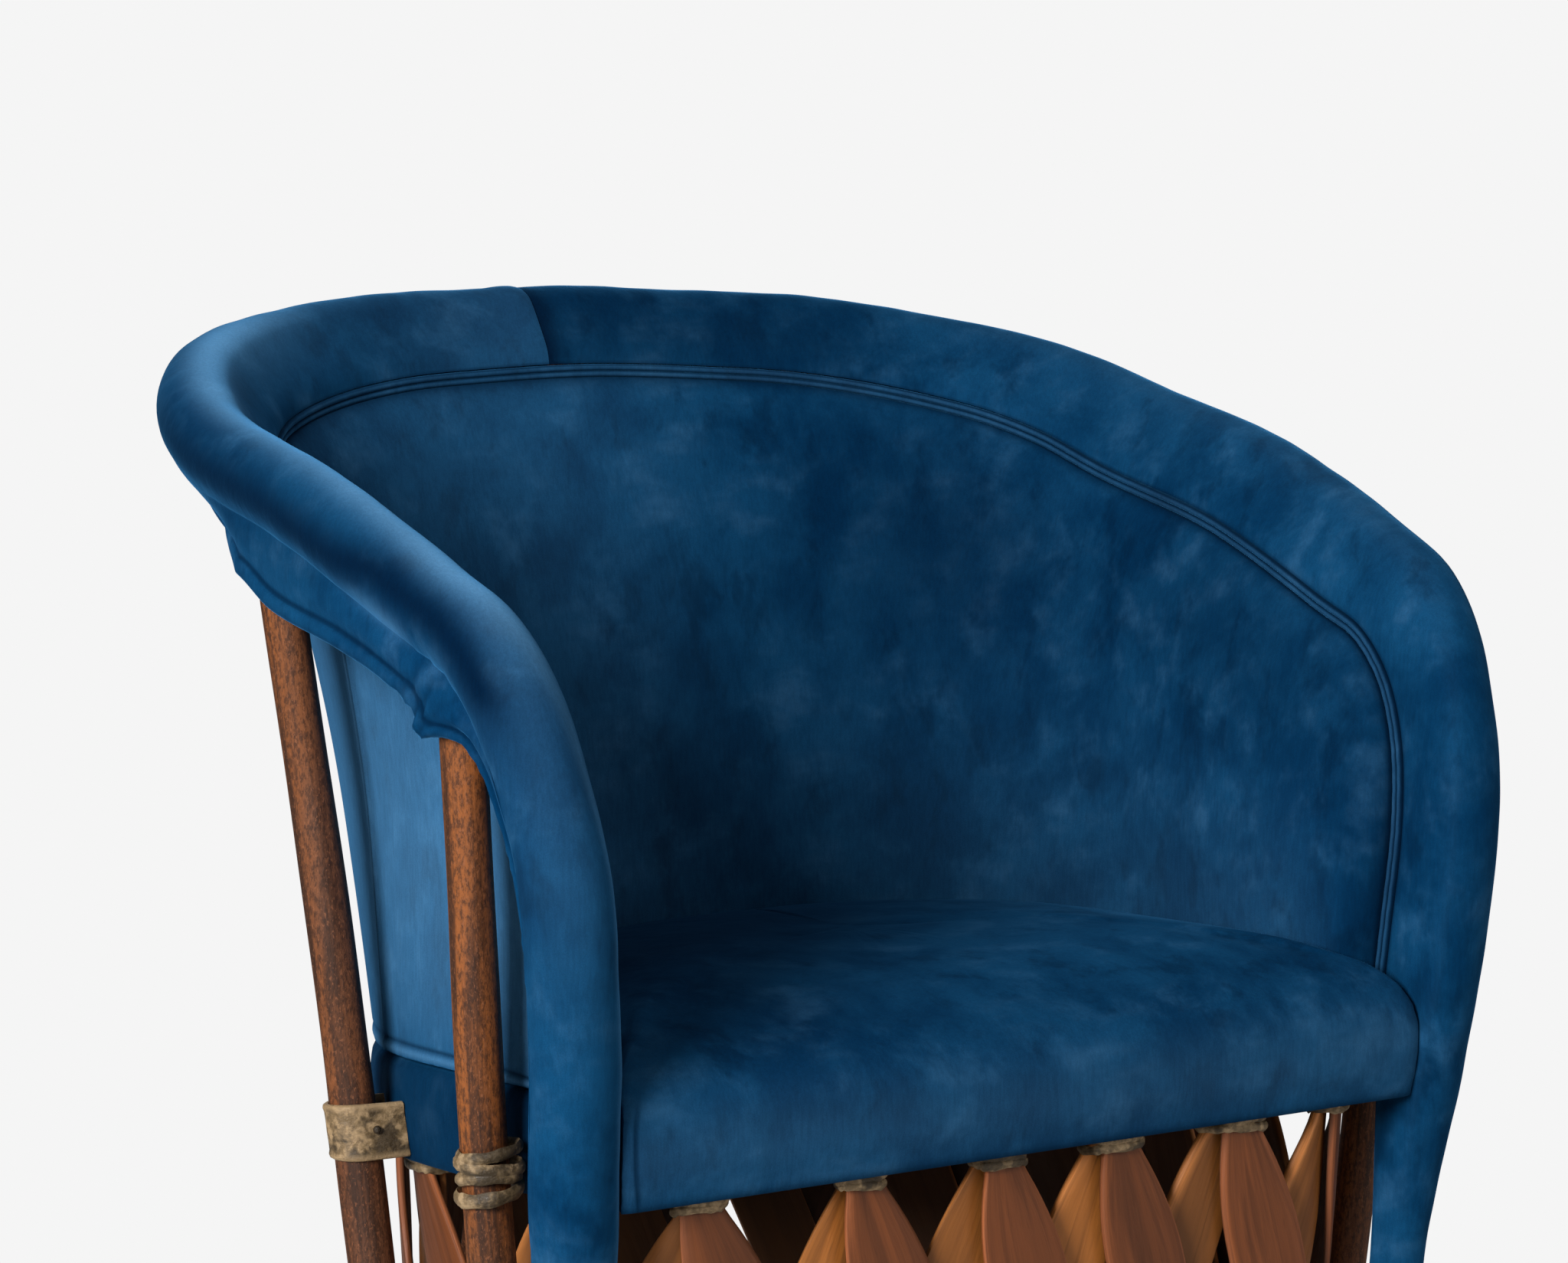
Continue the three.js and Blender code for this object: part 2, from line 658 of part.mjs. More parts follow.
function slat(index, direction, depth) {
  const top = tieShare(index);
  const foot = direction > 0 ? footTieShare(index) : footTieShare(index + direction * 3);
  const rings = SLAT_RISE_SHARES.map((rise, station) => {
    const level = mix(SLAT_FOOT_LEVEL, SLAT_TOP, rise);
    const tied = (level - TIE_FOOT_LEVEL) / (TIE_TOP_LEVEL - TIE_FOOT_LEVEL);
    const width = mix(SLAT_TIP_WIDTH, SLAT_WIDTH, SLAT_FULLNESS_SHARES[station]);
    const centre = mix(foot, top, tied);
    const shares = SLAT_ACROSS_SHARES.map((across) => centre + (across * width) / drumLength);
    const outer = shares.map((share) => drumPoint(share, level, depth));
    const inner = shares.map((share) => drumPoint(share, level, depth + SLAT_THICKNESS));
    return [...outer, ...inner.reverse()];
  });
  const flat = SLAT_ACROSS_SHARES.map((across) => new THREE.Vector2(across, 0));
  const flatInner = SLAT_ACROSS_SHARES.map((across) => new THREE.Vector2(across, 1)).reverse();
  const flatRing = [...flat, ...flatInner];
  return loft(rings, [flatRing, flatRing]);
}

// Rawhide lacing: a band round each crossing pair of slats, and a lace that joins the bands

function band(share, level) {
  const loop = (grow) => {
    const reach = (TIE_HALF_WIDTH + grow) / drumLength;
    const outer = [-reach, 0, reach].map((step) => drumPoint(share + step, level, -TIE_CLEARANCE - grow));
    const depth = PAIR_DEPTH + SLAT_CLEARANCE + grow;
    const inner = [reach, 0, -reach].map((step) => drumPoint(share + step, level, depth));
    return [...outer, ...inner].map((point) => new THREE.Vector2(point.x, point.y));
  };
  const shape = new THREE.Shape(loop(TIE_BAND));
  shape.holes.push(new THREE.Path(loop(0)));
  const geometry = new THREE.ExtrudeGeometry(shape, { depth: TIE_HEIGHT, bevelEnabled: false });
  return geometry.translate(0, 0, level - TIE_HEIGHT / 2);
}

function lace(level) {
  const depth = PAIR_DEPTH + SLAT_CLEARANCE + TIE_BAND + LACE_RADIUS / 2;
  const top = level + TIE_HEIGHT / 2 - LACE_RADIUS;
  const rings = planShares(DRUM_TOP).map((share) => {
    return circle(LACE_RADIUS, LACE_SIDES).map((corner) => drumPoint(share, top + corner.y, depth + corner.x));
  });
  return loft(rings, null);
}

function lacing(level, shares) {
  return join([lace(level), ...shares.map((share) => band(share, level))]);
}

// Hoops and the base wrap, which is open at the top between its walls

const HOOP_INSET = DRUM_FOOT_INSET + PAIR_DEPTH + SLAT_CLEARANCE + BASE_HOOP_RADIUS;

function seatRing() {
  const inset = PAIR_DEPTH + SLAT_CLEARANCE + RING_RADIUS;
  return roundPlan(DRUM_TOP, tubeOutline(inset, RING_LEVEL, RING_RADIUS));
}

function baseHoop() {
  const level = WRAP_THICKNESS + FIT_GAP + BASE_HOOP_RADIUS;
  return roundPlan(BASE, tubeOutline(HOOP_INSET, level, BASE_HOOP_RADIUS));
}

function baseWrap() {
  const inner = HOOP_INSET + BASE_HOOP_RADIUS + FIT_GAP;
  return roundPlan(BASE, [
    [0, 0],
    [-WRAP_FLARE, WRAP_HEIGHT],
    [WRAP_THICKNESS - WRAP_FLARE, WRAP_HEIGHT],
    [WRAP_THICKNESS, WRAP_THICKNESS],
    [inner, WRAP_THICKNESS],
    [inner, WRAP_INNER_HEIGHT],
    [inner + WRAP_THICKNESS, WRAP_INNER_HEIGHT],
    [inner + WRAP_THICKNESS, 0],
  ]);
}

// Rods and straps, both with level sections

function rodCentres(index) {
  const foot = planOutside(BASE, WRAP_FLARE + ROD_RADIUS + FIT_GAP, ROD_FOOT_SHARES[index]);
  const seat = planOutside(SEAT, ROD_STANDOFF, ROD_SEAT_SHARES[index]);
  const head = rimFrame(-ROD_RIM_SHARES[index]).point;
  return [raised(foot, FOOT_LEVEL), raised(seat, STRAP_LEVEL), head];
}

function levelRing(centre, outline) {
  return outline.map((corner) => new THREE.Vector3(centre.x + corner.x, centre.y + corner.y, centre.z));
}

function rod(index, rimRoom) {
  const radii = [ROD_RADIUS, ROD_RADIUS, ROD_HEAD_RADIUS];
  const outlines = radii.map((radius) => circle(radius, ROD_SIDES));
  const rings = rodCentres(index).map((centre, station) => levelRing(centre, outlines[station]));
  return cut(loft(rings, [outlines[0], outlines.at(-1)]), [rimRoom]);
}

function strapOutline(angle) {
  const halfStep = Math.PI / (2 * STRAP_ARC_STEPS);
  const inner = (ROD_RADIUS + FIT_GAP) / Math.cos(halfStep);
  const outer = inner + STRAP_THICKNESS;
  const reach = ROD_STANDOFF - 2 * FIT_GAP;
  const arc = (radius) => Array.from({ length: STRAP_ARC_STEPS + 1 }, (_, step) => {
    const turn = Math.PI * (step / STRAP_ARC_STEPS - 0.5);
    return new THREE.Vector2(radius * Math.cos(turn), radius * Math.sin(turn));
  });
  const outline = [
    new THREE.Vector2(-reach, -outer),
    ...arc(outer),
    new THREE.Vector2(-reach, outer),
    new THREE.Vector2(-reach, inner),
    ...arc(inner).reverse(),
    new THREE.Vector2(-reach, -inner),
  ];
  const origin = new THREE.Vector2(0, 0);
  return outline.map((corner) => corner.rotateAround(origin, angle));
}

function rodStrap(index) {
  const [, seat, head] = rodCentres(index);
  const cover = planPoint(SEAT, 0, ROD_SEAT_SHARES[index]);
  const outline = strapOutline(Math.atan2(seat.y - cover.y, seat.x - cover.x));
  const top = seat.clone().lerp(head, STRAP_HEIGHT / (head.z - seat.z));
  return loft([levelRing(seat, outline), levelRing(top, outline)], [outline, outline]);
}

// Assembly

const group = new THREE.Group();

function add(name, geometry, look) {
  const mesh = new THREE.Mesh(geometry, look);
  mesh.name = name;
  group.add(mesh);
}

add('rim_hoop', rimTube(POLE_RADIUS), bark);
add('rim_sleeve_left', leftSleeve(), velvet);
add('rim_sleeve_right', rightSleeve(), velvet);
add('back_piping', backPiping(), velvet);
add('back_pad_inner', innerPad(), innerVelvet);
add('back_panel_outer', outerPanel(), velvet);
add('seat_ring', seatRing(), bark);
add('seat_deck', seatDeck(), plywood);
add('seat_foam', seatFoam(), foam);
add('seat_cover', seatCover(), velvet);
add('base_hoop', baseHoop(), bark);
add('base_hoop_wrap', baseWrap(), velvet);
add('slat_lacing_top', lacing(TIE_TOP_LEVEL, TIE_SHARES), rawhide);
add('slat_lacing_bottom', lacing(TIE_FOOT_LEVEL, TIE_SHARES.map((_, index) => footTieShare(index))), rawhide);

const rimRoom = rimTube(BORE_RADIUS);
ROD_SEAT_SHARES.forEach((_, index) => {
  add(`rod_${index + 1}`, rod(index, rimRoom), bark);
  add(`rod_strap_${index + 1}`, rodStrap(index), rawhide);
});

TIE_SHARES.forEach((_, index) => {
  const number = String(index + 1).padStart(2, '0');
  add(`slat_outer_${number}`, slat(index, 1, 0), cedar);
  add(`slat_inner_${number}`, slat(index, -1, SLAT_THICKNESS + SLAT_CLEARANCE), paleCedar);
});

// The slope of the seat, faded out towards the base and the arms
function slopeShare(level) {
  const above = THREE.MathUtils.smoothstep(level, SLOPE_FOOT_LEVEL, TIE_TOP_LEVEL - TIE_HEIGHT);
  const beyond = THREE.MathUtils.smoothstep(level, SEAT_LEVEL + COVER_CROWN_HEIGHT, SLOPE_ARM_LEVEL);
  return SEAT_SLOPE_SHARE * above * (1 - beyond);
}

function slope(geometry) {
  const places = geometry.attributes.position;
  for (let corner = 0; corner < places.count; corner += 1) {
    const level = places.getZ(corner);
    places.setZ(corner, level + slopeShare(level) * (SLOPE_LINE_Y - places.getY(corner)));
  }
}

for (const mesh of group.children) slope(mesh.geometry);

// The middle of the whole chair's footprint stands at the origin
const bounds = new THREE.Box3().setFromObject(group);
const middle = bounds.getCenter(new THREE.Vector3());
for (const mesh of group.children) mesh.geometry.translate(-middle.x, -middle.y, -bounds.min.z);

export default group;
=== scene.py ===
import math

import bpy
import numpy as np
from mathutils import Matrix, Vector, noise


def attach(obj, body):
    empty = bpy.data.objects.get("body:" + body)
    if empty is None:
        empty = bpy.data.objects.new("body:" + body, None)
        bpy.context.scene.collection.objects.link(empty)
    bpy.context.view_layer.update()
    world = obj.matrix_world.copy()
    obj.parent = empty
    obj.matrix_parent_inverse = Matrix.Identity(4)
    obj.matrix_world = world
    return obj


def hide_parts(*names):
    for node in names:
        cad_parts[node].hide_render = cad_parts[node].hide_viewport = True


bl_info = {
    "name": "Equipale barrel chair",
    "version": (1, 0, 0),
    "blender": (4, 5, 0),
    "location": "View3D > Sidebar > Chair",
    "description": "Builds the velvet, slats, rods and lashings of a barrel chair round its frame",
    "category": "Object",
}

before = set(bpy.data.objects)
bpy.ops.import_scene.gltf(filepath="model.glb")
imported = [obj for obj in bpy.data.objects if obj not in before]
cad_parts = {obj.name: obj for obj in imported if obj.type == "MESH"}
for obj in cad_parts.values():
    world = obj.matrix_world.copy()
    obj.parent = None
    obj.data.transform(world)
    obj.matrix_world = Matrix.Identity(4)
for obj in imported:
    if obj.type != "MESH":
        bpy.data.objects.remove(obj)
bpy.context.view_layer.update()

MM = 0.001
SHIFT_Y = 2.685 * MM  # Moves the whole chair back, so that its box is centred
GAP = 0.3 * MM  # Air between pieces that all but touch
SHARPEST_CORNER = 0.0003  # Least radius of a plan's front corners
RIM_SQUARENESS = 0.8  # 1 bends the rim as an ellipse, and less bends it squarer

# Shares along the rim and the outlines, as in the frame
WELT_END = 24 / 36  # Where the piping ends, beside the seat
RIM_TURNS = [0, 25, 50, 72, 92, 108]
RIM_DROP_SHARES = [0, 0.045, 0.155, 0.303, 0.532, 0.875]
POST_WIDTH_SHARES = [0.605, 0.493, 0.386, 0.267, 0.133, 0, -0.156]
POST_REACH_SHARES = [0.785, 0.887, 0.955, 0.995, 0.985, 0.936, 0.903]
POST_HEIGHT_SHARES = [0.826, 0.7935, 0.7474, 0.685, 0.5867, 0.492, 0.3875]
SLEEVE_WAY_SHARES = [0, 0.66, 0.7, 0.78, 1]
SLEEVE_FULLNESS_SHARES = [1, 1, 1, 0, 0]
SKIRT_WAY_SHARES = [0, 0.346, 0.374, 0.43, 0.476, 0.495, 0.522, 0.556, 0.6, 1]
SKIRT_DROP_SHARES = [0.92, 0.92, 1.04, 0.88, 0.8, 1, 0.54, 0.36, 0.24, 0.2]
SKIRT_LEAN_WAY_SHARES = [0, 0.19, 0.25, 0.3, 0.345, 0.44, 0.46, 0.5, 0.54, 1]
SKIRT_LEAN_SHARES = [0.09, 0.09, 0.52, 0.52, 0.04, 0, -0.06, -0.06, 0, 0]
PIPING_WAY_SHARES = [0, 0.46, 0.54, 0.6, 0.66, 0.78, 1]
PIPING_INWARD_SHARES = [1, 1, 0.56, 0.51, 0.51, 0.43, 0.43]
PIPING_BELOW_SHARES = [1, 1, 1, 1, 1, 0.3, 0.3]
LEG_WAY_SHARES = [0, 0.47, 0.56, 0.66, 0.78, 1]
LEG_THICKNESS_SHARES = [1, 1, 0.72, 0.6, 0.12, 0.12]
PANEL_WAY_SHARES = [0, 0.483, 0.64]
PANEL_SEAT_SHARES = [0, 0.2925, 0.319]
COVER_SIDE_INSET_SHARES = [0, 0, 0, 1, 1, 1.1, 1.6, 3, 5]
COVER_SIDE_RISE_SHARES = [0, 0.27, 0.527, 0.53, 0.68, 0.785, 0.86, 0.925, 0.98]
COVER_FRONT_INSET_SHARES = [0, -0.15, -0.15, -0.04, 0.23, 0.7, 1.55, 3, 5]
COVER_FRONT_RISE_SHARES = [0, 0.215, 0.41, 0.515, 0.625, 0.73, 0.82, 0.9, 0.97]
TIE_SHARES = [
    0.033, 0.098, 0.162, 0.227, 0.312, 0.369, 0.431, 0.488,
    0.537, 0.591, 0.646, 0.71, 0.775, 0.84, 0.904, 0.969,
]
CORNER_SEAT_SHARES = [0.345, 0.655]
ROD_SEAT_SHARES = [0.303, 0.221, 0.073, 0, -0.073, -0.221, -0.303]
ROD_RIM_SHARES = [0.476, 0.34, 0.117, 0, -0.117, -0.34, -0.476]
ROD_FOOT_SHARES = [0.306, 0.248, 0.073, 0, -0.073, -0.248, -0.306]


def size(name, metres, description):
    return bpy.props.FloatProperty(
        name=name, description=description, default=metres, min=0, unit="LENGTH", subtype="DISTANCE")


def place_size(name, metres, description):
    return bpy.props.FloatProperty(
        name=name, description=description, default=metres, unit="LENGTH", subtype="DISTANCE")


def share(name, value, description):
    return bpy.props.FloatProperty(
        name=name, description=description, default=value, min=0, max=1, subtype="FACTOR")


def view_angle(name, degrees, description):
    return bpy.props.FloatProperty(
        name=name, description=description, default=math.radians(degrees), subtype="ANGLE")


def tint(name, red, green, blue, description):
    """A colour property, written as it looks on a screen, from 0 to 255."""
    return bpy.props.FloatVectorProperty(
        name=name, description=description, subtype="COLOR", size=3, min=0, max=1,
        default=[linear(value) for value in (red, green, blue)])


def linear(value):
    value /= 255
    return value / 12.92 if value <= 0.04045 else ((value + 0.055) / 1.055) ** 2.4


class ChairStudio(bpy.types.PropertyGroup):
    """Camera, lamps and floor."""
    camera_turn: view_angle("Camera turn", -33.0078565, "Camera's angle round the chair")
    camera_rise: view_angle("Camera rise", 5.2745045, "Camera's angle above the seat")
    camera_distance: size("Camera distance", 2.14164385, "From the camera to the point that it looks at")
    lens: bpy.props.FloatProperty(
        name="Lens", description="Focal length in millimetres", default=90.539, min=1)
    look_x: place_size("Look at X", 0.009138, "Point that the camera looks at")
    look_y: place_size("Look at Y", 0.013316, "Point that the camera looks at")
    look_z: place_size("Look at Z", 0.648517, "Point that the camera looks at")
    backdrop: tint("Backdrop", 245, 245, 245, "Colour behind the chair")
    floor: tint("Floor", 196, 196, 195, "Colour of the floor under the chair")
    floor_reach: size("Floor reach", 9, "Half the floor's width")


class ChairRim(bpy.types.PropertyGroup):
    """The bent pole and the velvet round it."""
    half_width: size("Half width", 0.303, "Half the rim's width at the arms")
    back_depth: size("Back depth", 0.212, "From the rim's centre to the back")
    front_depth: size("Front depth", 0.444, "From the rim's centre to the front of its curve")
    centre_y: place_size("Centre", 0.022, "Where the two halves of the rim's plan meet")
    height: size("Height", 0.813, "Pole's centre above the floor at the back")
    drop: size("Drop", 0.142, "How far the arms fall below the back")
    post_reach: size("Post reach", 0.24, "How far the posts stand in front of the centre")
    post_standoff: size("Post standoff", 0.011, "Pole's centre outside the seat's front corner")
    sleeve_radius: size("Sleeve radius", 0.0217, "Radius of the velvet roll")
    foot_radius: size("Foot radius", 0.0148, "Radius of the velvet at the foot of each post")
    bore_radius: size("Bore radius", 0.0133, "Room for the pole inside the velvet")
    skirt_drop: size("Skirt drop", 0.05, "Depth of the skirt below the pole's centre")
    skirt_thickness: size("Skirt thickness", 0.0032, "Thickness of the folded skirt")
    piping_inward: size("Piping inward", 0.035, "From the pole's centre in to the piping")
    piping_below: size("Piping below", 0.027, "From the pole's centre down to the piping")
    piping_radius: size("Piping radius", 0.0035, "Half the room that the piping takes")
    leg_thickness: size("Leg thickness", 0.013, "Padding between the pole and the piping")
    seam_back: size("Seam place", 0.053, "From the middle of the back to the overlap seam")
    lumps: size("Lumps", 0.0009, "Height of the soft lumps in the velvet roll")


class ChairBack(bpy.types.PropertyGroup):
    """Inner pad and outer panel."""
    panel_thickness: size("Panel thickness", 0.004, "Thickness of the outer panel")
    pad_foot: size("Pad foot", 0.0215, "Thickness of the inner pad at the seat")
    pad_edge: size("Pad edge", 0.009, "Thickness of the inner pad at the piping")
    pad_clearance: size("Pad clearance", 0.0012, "Between the pad and the panel")
    bow: size("Bow", 0.006, "How far the back bows in between seat and rim")
    top_outset: size("Top outset", 0.005, "Panel's place outside the piping")
    puff: size("Puff", 0.004, "Fullness of the pad between its edges")
    height: size("Height", 0.33, "From the seat's ledge to the piping, about")
    seam_share: share("Seam place", 0.34, "The panel's upright seams, as a share of the way to a post's foot")


class ChairSeat(bpy.types.PropertyGroup):
    """The cushion and its apron."""
    level: size("Level", 0.4, "Seat cover's lower edge above the floor")
    half_width: size("Half width", 0.2526, "Half the seat's width")
    back_depth: size("Back depth", 0.2304, "From the seat's centre to its back")
    centre_y: place_size("Centre", -0.062, "Where the curved back starts")
    front_y: place_size("Front", -0.24, "The front edge")
    front_half_width: size("Front half width", 0.249, "Half the width at the front")
    corner_radius: size("Corner radius", 0.014, "Radius of the front corners in plan")
    crown_height: size("Crown height", 0.095, "Top of the cushion above its lower edge")
    side_height: size("Side height", 0.049, "Height of the seat's sides outside the back")
    ledge: size("Ledge", 0.028, "Width of the ledge that the back stands on")
    side_bulge: size("Side bulge", 0.0025, "How far the seat's sides swell under the back")
    wall: size("Wall", 0.003, "Thickness of the apron and the sides")
    floor: size("Floor", 0.0318, "Underside of the filling above the cover's lower edge")
    swell: size("Swell", 0.005, "How far the crown may swell past its cut shape")
    slope_share: share("Slope", 0.052, "Rise of the seat towards the front, as a share of the way")
    slope_line_y: place_size("Slope line", -0.03, "Line across the seat that the slope leaves where it is")
    slope_foot: size("Slope foot", 0.06, "Level below which nothing slopes")
    slope_arm: size("Slope arm", 0.64, "Level above which nothing slopes")
    pressure: bpy.props.FloatProperty(
        name="Pressure", description="Air pressure in the cushion", default=4, min=0)
    fill: share("Fill", 0.7, "How tightly the cushion is filled")


class ChairDrum(bpy.types.PropertyGroup):
    """Slats, hoops and the base."""
    slat_thickness: size("Slat thickness", 0.005, "Thickness of a slat")
    slat_clearance: size("Slat clearance", 0.0028, "Between the two layers")
    slat_width: size("Slat width", 0.05, "Width of a slat's belly")
    slat_tip: size("Slat tip", 0.021, "Width of a slat's ends")
    slat_belly_top: size("Belly top", 0.335, "Where a slat starts to narrow towards its upper tie")
    slat_belly_foot: size("Belly foot", 0.105, "Where a slat starts to narrow towards its lower tie")
    slat_top: size("Slat top", 0.423, "Upper ends above the floor")
    slat_foot: size("Slat foot", 0.0028, "Lower ends above the floor")
    drum_inset: size("Drum inset", 0.0077, "Slats inside the seat's edge")
    corner_inset: size("Corner inset", 0.012, "Drum's front corners inside the seat's")
    corner_radius: size("Corner radius", 0.05, "Radius of the drum's front corners")
    tie_top: size("Upper ties", 0.398, "Level of the upper lashings")
    tie_foot: size("Lower ties", 0.047, "Level of the lower lashings")
    tie_height: size("Tie height", 0.011, "Height of a lashing")
    tie_half_width: size("Tie half width", 0.016, "Half the width of a lashing")
    base_half_width: size("Base half width", 0.225, "Half the base's width")
    base_back_depth: size("Base back depth", 0.194, "From the base's centre to its back")
    base_front_y: place_size("Base front", -0.21, "Front of the base")
    wrap_thickness: size("Wrap thickness", 0.0025, "Thickness of the base's wrap")
    wrap_height: size("Wrap height", 0.034, "Height of the base's wrap outside")
    wrap_inner: size("Inner wrap height", 0.028, "Height of the base's wrap inside")
    wrap_flare: size("Wrap flare", 0.003, "How far the wrap leans out at its edge")
    base_hoop_radius: size("Base hoop radius", 0.012, "Radius of the hoop in the wrap")


class ChairRods(bpy.types.PropertyGroup):
    """Upright rods and their straps."""
    radius: size("Radius", 0.0116, "Radius of a rod")
    head_radius: size("Head radius", 0.0106, "Radius of a rod under the skirt")
    standoff: size("Standoff", 0.022, "Rod's centre outside the seat")
    foot_level: size("Foot level", 0.014, "Lower ends above the floor")
    strap_level: size("Strap level", 0.402, "Lower edge of each strap")
    strap_height: size("Strap height", 0.028, "Height of a strap")
    strap_thickness: size("Strap thickness", 0.0024, "Thickness of a strap")
    wobble: size("Wobble", 0.0011, "How far a rod strays from a straight line")


class ChairColours(bpy.types.PropertyGroup):
    """Colours of the finishes."""
    velvet: tint("Velvet", 14, 68, 106, "Velvet, nap lying flat")
    velvet_deep: tint("Velvet, against the nap", 2, 46, 80, "Velvet brushed the other way")
    # The next colour is painted highlight where the lamps would catch the nap, and also the pile's faint
    # lighter marks
    velvet_light: tint("Velvet, brushed", 92, 146, 190, "Velvet where the nap catches light")
    # The next colour is painted shade in folds, seams, recesses and where other parts shade the velvet, and
    # also the pile's pressed marks
    velvet_crease: tint("Velvet, creased", 0, 22, 46, "Velvet in folds, seams and pressed marks")
    velvet_sheen: tint("Velvet sheen", 66, 146, 206, "Light that the pile's tips scatter")
    cedar: tint("Cedar", 126, 68, 32, "Outer slats")
    cedar_pale: tint("Pale cedar", 168, 102, 44, "Inner slats")
    bark: tint("Bark", 100, 60, 37, "Rods and hoops")
    bark_peeled: tint("Peeled bark", 142, 80, 34, "Rods where the bark is off")
    rawhide: tint("Rawhide", 112, 92, 64, "Lashings")
    strap: tint("Strap", 116, 94, 64, "Flat rawhide straps")
    board: tint("Board", 172, 138, 96, "Deck under the cushion")


# Curves and outlines, in metres


def smooth_profile(stops, values, at):
    """A smooth value along named stops."""
    stops = np.asarray(stops, float)
    values = np.asarray(values, float)
    at = np.clip(np.asarray(at, float), stops[0], stops[-1])
    after = np.clip(np.searchsorted(stops, at, side="right"), 1, len(stops) - 1)
    before = after - 1
    start, end = stops[before], stops[after]
    earlier = np.where(before > 0, before - 1, after)
    later = np.where(after < len(stops) - 1, after + 1, before)
    half = (end - start) / 2
    weight_start = half / (start - stops[earlier])
    weight_end = half / (stops[later] - end)
    step = (at - start) / (end - start)
    square, cube = step ** 2, step ** 3
    return (
        (-weight_start * cube + 2 * weight_start * square - weight_start * step) * values[earlier]
        + ((1 + weight_start) * cube + (-1.5 - 2 * weight_start) * square + (weight_start - 0.5) * step + 1)
        * values[before]
        + ((-1 - weight_end) * cube + (1.5 + weight_end) * square + 0.5 * step) * values[after]
        + (weight_end * cube - weight_end * square) * values[later]
    )


def smoothstep(value, low, high):
    step = np.clip((np.asarray(value, float) - low) / (high - low), 0, 1)
    return step * step * (3 - 2 * step)


def falling(value, low, high):
    return 1 - smoothstep(value, low, high)


def peak(value, centre, width):
    """1 at the centre, and next to nothing two widths away."""
    return np.exp(-((value - centre) / width) ** 2)


def fading(distance, reach):
    """1 at no distance, and about a third at the reach."""
    return np.exp(-distance / reach)


def mix(first, second, part):
    return first + (second - first) * part


def unit(vectors):
    return vectors / np.linalg.norm(vectors, axis=-1, keepdims=True)


def spline(points, steps):
    """A centripetal curve through the points, close enough together to measure along."""
    points = np.asarray(points, float)
    padded = np.vstack([2 * points[0] - points[1], points, 2 * points[-1] - points[-2]])
    pieces = []
    part = np.linspace(0, 1, steps, endpoint=False)[:, None]
    for index in range(len(points) - 1):
        before, start, end, after = padded[index:index + 4]
        first, middle, last = (
            max(np.linalg.norm(b - a), 1e-9) ** 0.5 for a, b in ((before, start), (start, end), (end, after)))
        slope_start = (start - before) / first - (end - before) / (first + middle) + (end - start) / middle
        slope_end = (end - start) / middle - (after - start) / (middle + last) + (after - end) / last
        slope_start, slope_end = slope_start * middle, slope_end * middle
        square = -3 * start + 3 * end - 2 * slope_start - slope_end
        cube = 2 * start - 2 * end + slope_start + slope_end
        pieces.append(start + slope_start * part + square * part ** 2 + cube * part ** 3)
    return np.vstack([*pieces, points[-1:]])


class Line:
    """A curve measured along its length."""

    def __init__(self, points):
        self.points = np.asarray(points, float)
        steps = np.linalg.norm(np.diff(self.points, axis=0), axis=1)
        self.along = np.concatenate([[0], np.cumsum(steps)])
        self.length = self.along[-1]

    def at(self, part):
        place = np.asarray(part, float) * self.length
        return np.stack([np.interp(place, self.along, axis) for axis in self.points.T], axis=-1)

    def direction(self, part):
        part, reach = np.asarray(part), 0.0015
        return unit(self.at(np.minimum(part + reach, 1)) - self.at(np.maximum(part - reach, 0)))


def arc(centre, radii, start, end, steps):
    turn = np.radians(np.linspace(start, end, steps))
    return np.stack([centre[0] + radii[0] * np.cos(turn), centre[1] + radii[1] * np.sin(turn)], axis=1)


def bent(start, corner, end, steps):
    part = np.linspace(0, 1, steps)[:, None]
    start, corner, end = (np.asarray(point, float) for point in (start, corner, end))
    return (1 - part) ** 2 * start + 2 * part * (1 - part) * corner + part ** 2 * end


class Plan:
    """A seat, drum or base outline, from the middle of the back round by the left."""

    def __init__(self, half_width, back_depth, centre_y, front_y, front_half_width, corner):
        self.sizes = (half_width, back_depth, centre_y + SHIFT_Y, front_y + SHIFT_Y, front_half_width, corner)
        self.lines = {}

    def line(self, inset=0.0):
        """The outline, moved in by the inset and made once."""
        key = round(inset, 7)
        if key not in self.lines:
            side, back, centre, front, wide, corner = self.sizes
            side, back, front, wide = side - inset, back - inset, front + inset, wide - inset
            corner = max(corner - inset, SHARPEST_CORNER)
            middle = (centre + front) / 2
            parts = [
                arc((0, centre), (side, back), 90, 180, 160),
                bent((-side, centre), (-side, middle), (-wide, front + corner), 80),
                arc((corner - wide, front + corner), (corner, corner), 180, 270, 60),
                arc((wide - corner, front + corner), (corner, corner), 270, 360, 60),
                bent((wide, front + corner), (side, middle), (side, centre), 80),
                arc((0, centre), (side, back), 0, 90, 160),
            ]
            self.lines[key] = Line(np.vstack(parts))
        return self.lines[key]

    def at(self, inset, part):
        return self.line(inset).at(np.mod(part, 1))

    def outside(self, reach, part):
        line = self.line()
        direction = line.direction(np.mod(part, 1))
        return line.at(np.mod(part, 1)) + reach * np.stack([direction[..., 1], -direction[..., 0]], axis=-1)


def raised(flat, level):
    """Points of a plan at their level, which is one for all or one for each."""
    levels = np.broadcast_to(np.asarray(level, float)[..., None], flat.shape[:-1] + (1,))
    return np.concatenate([flat, levels], axis=-1)


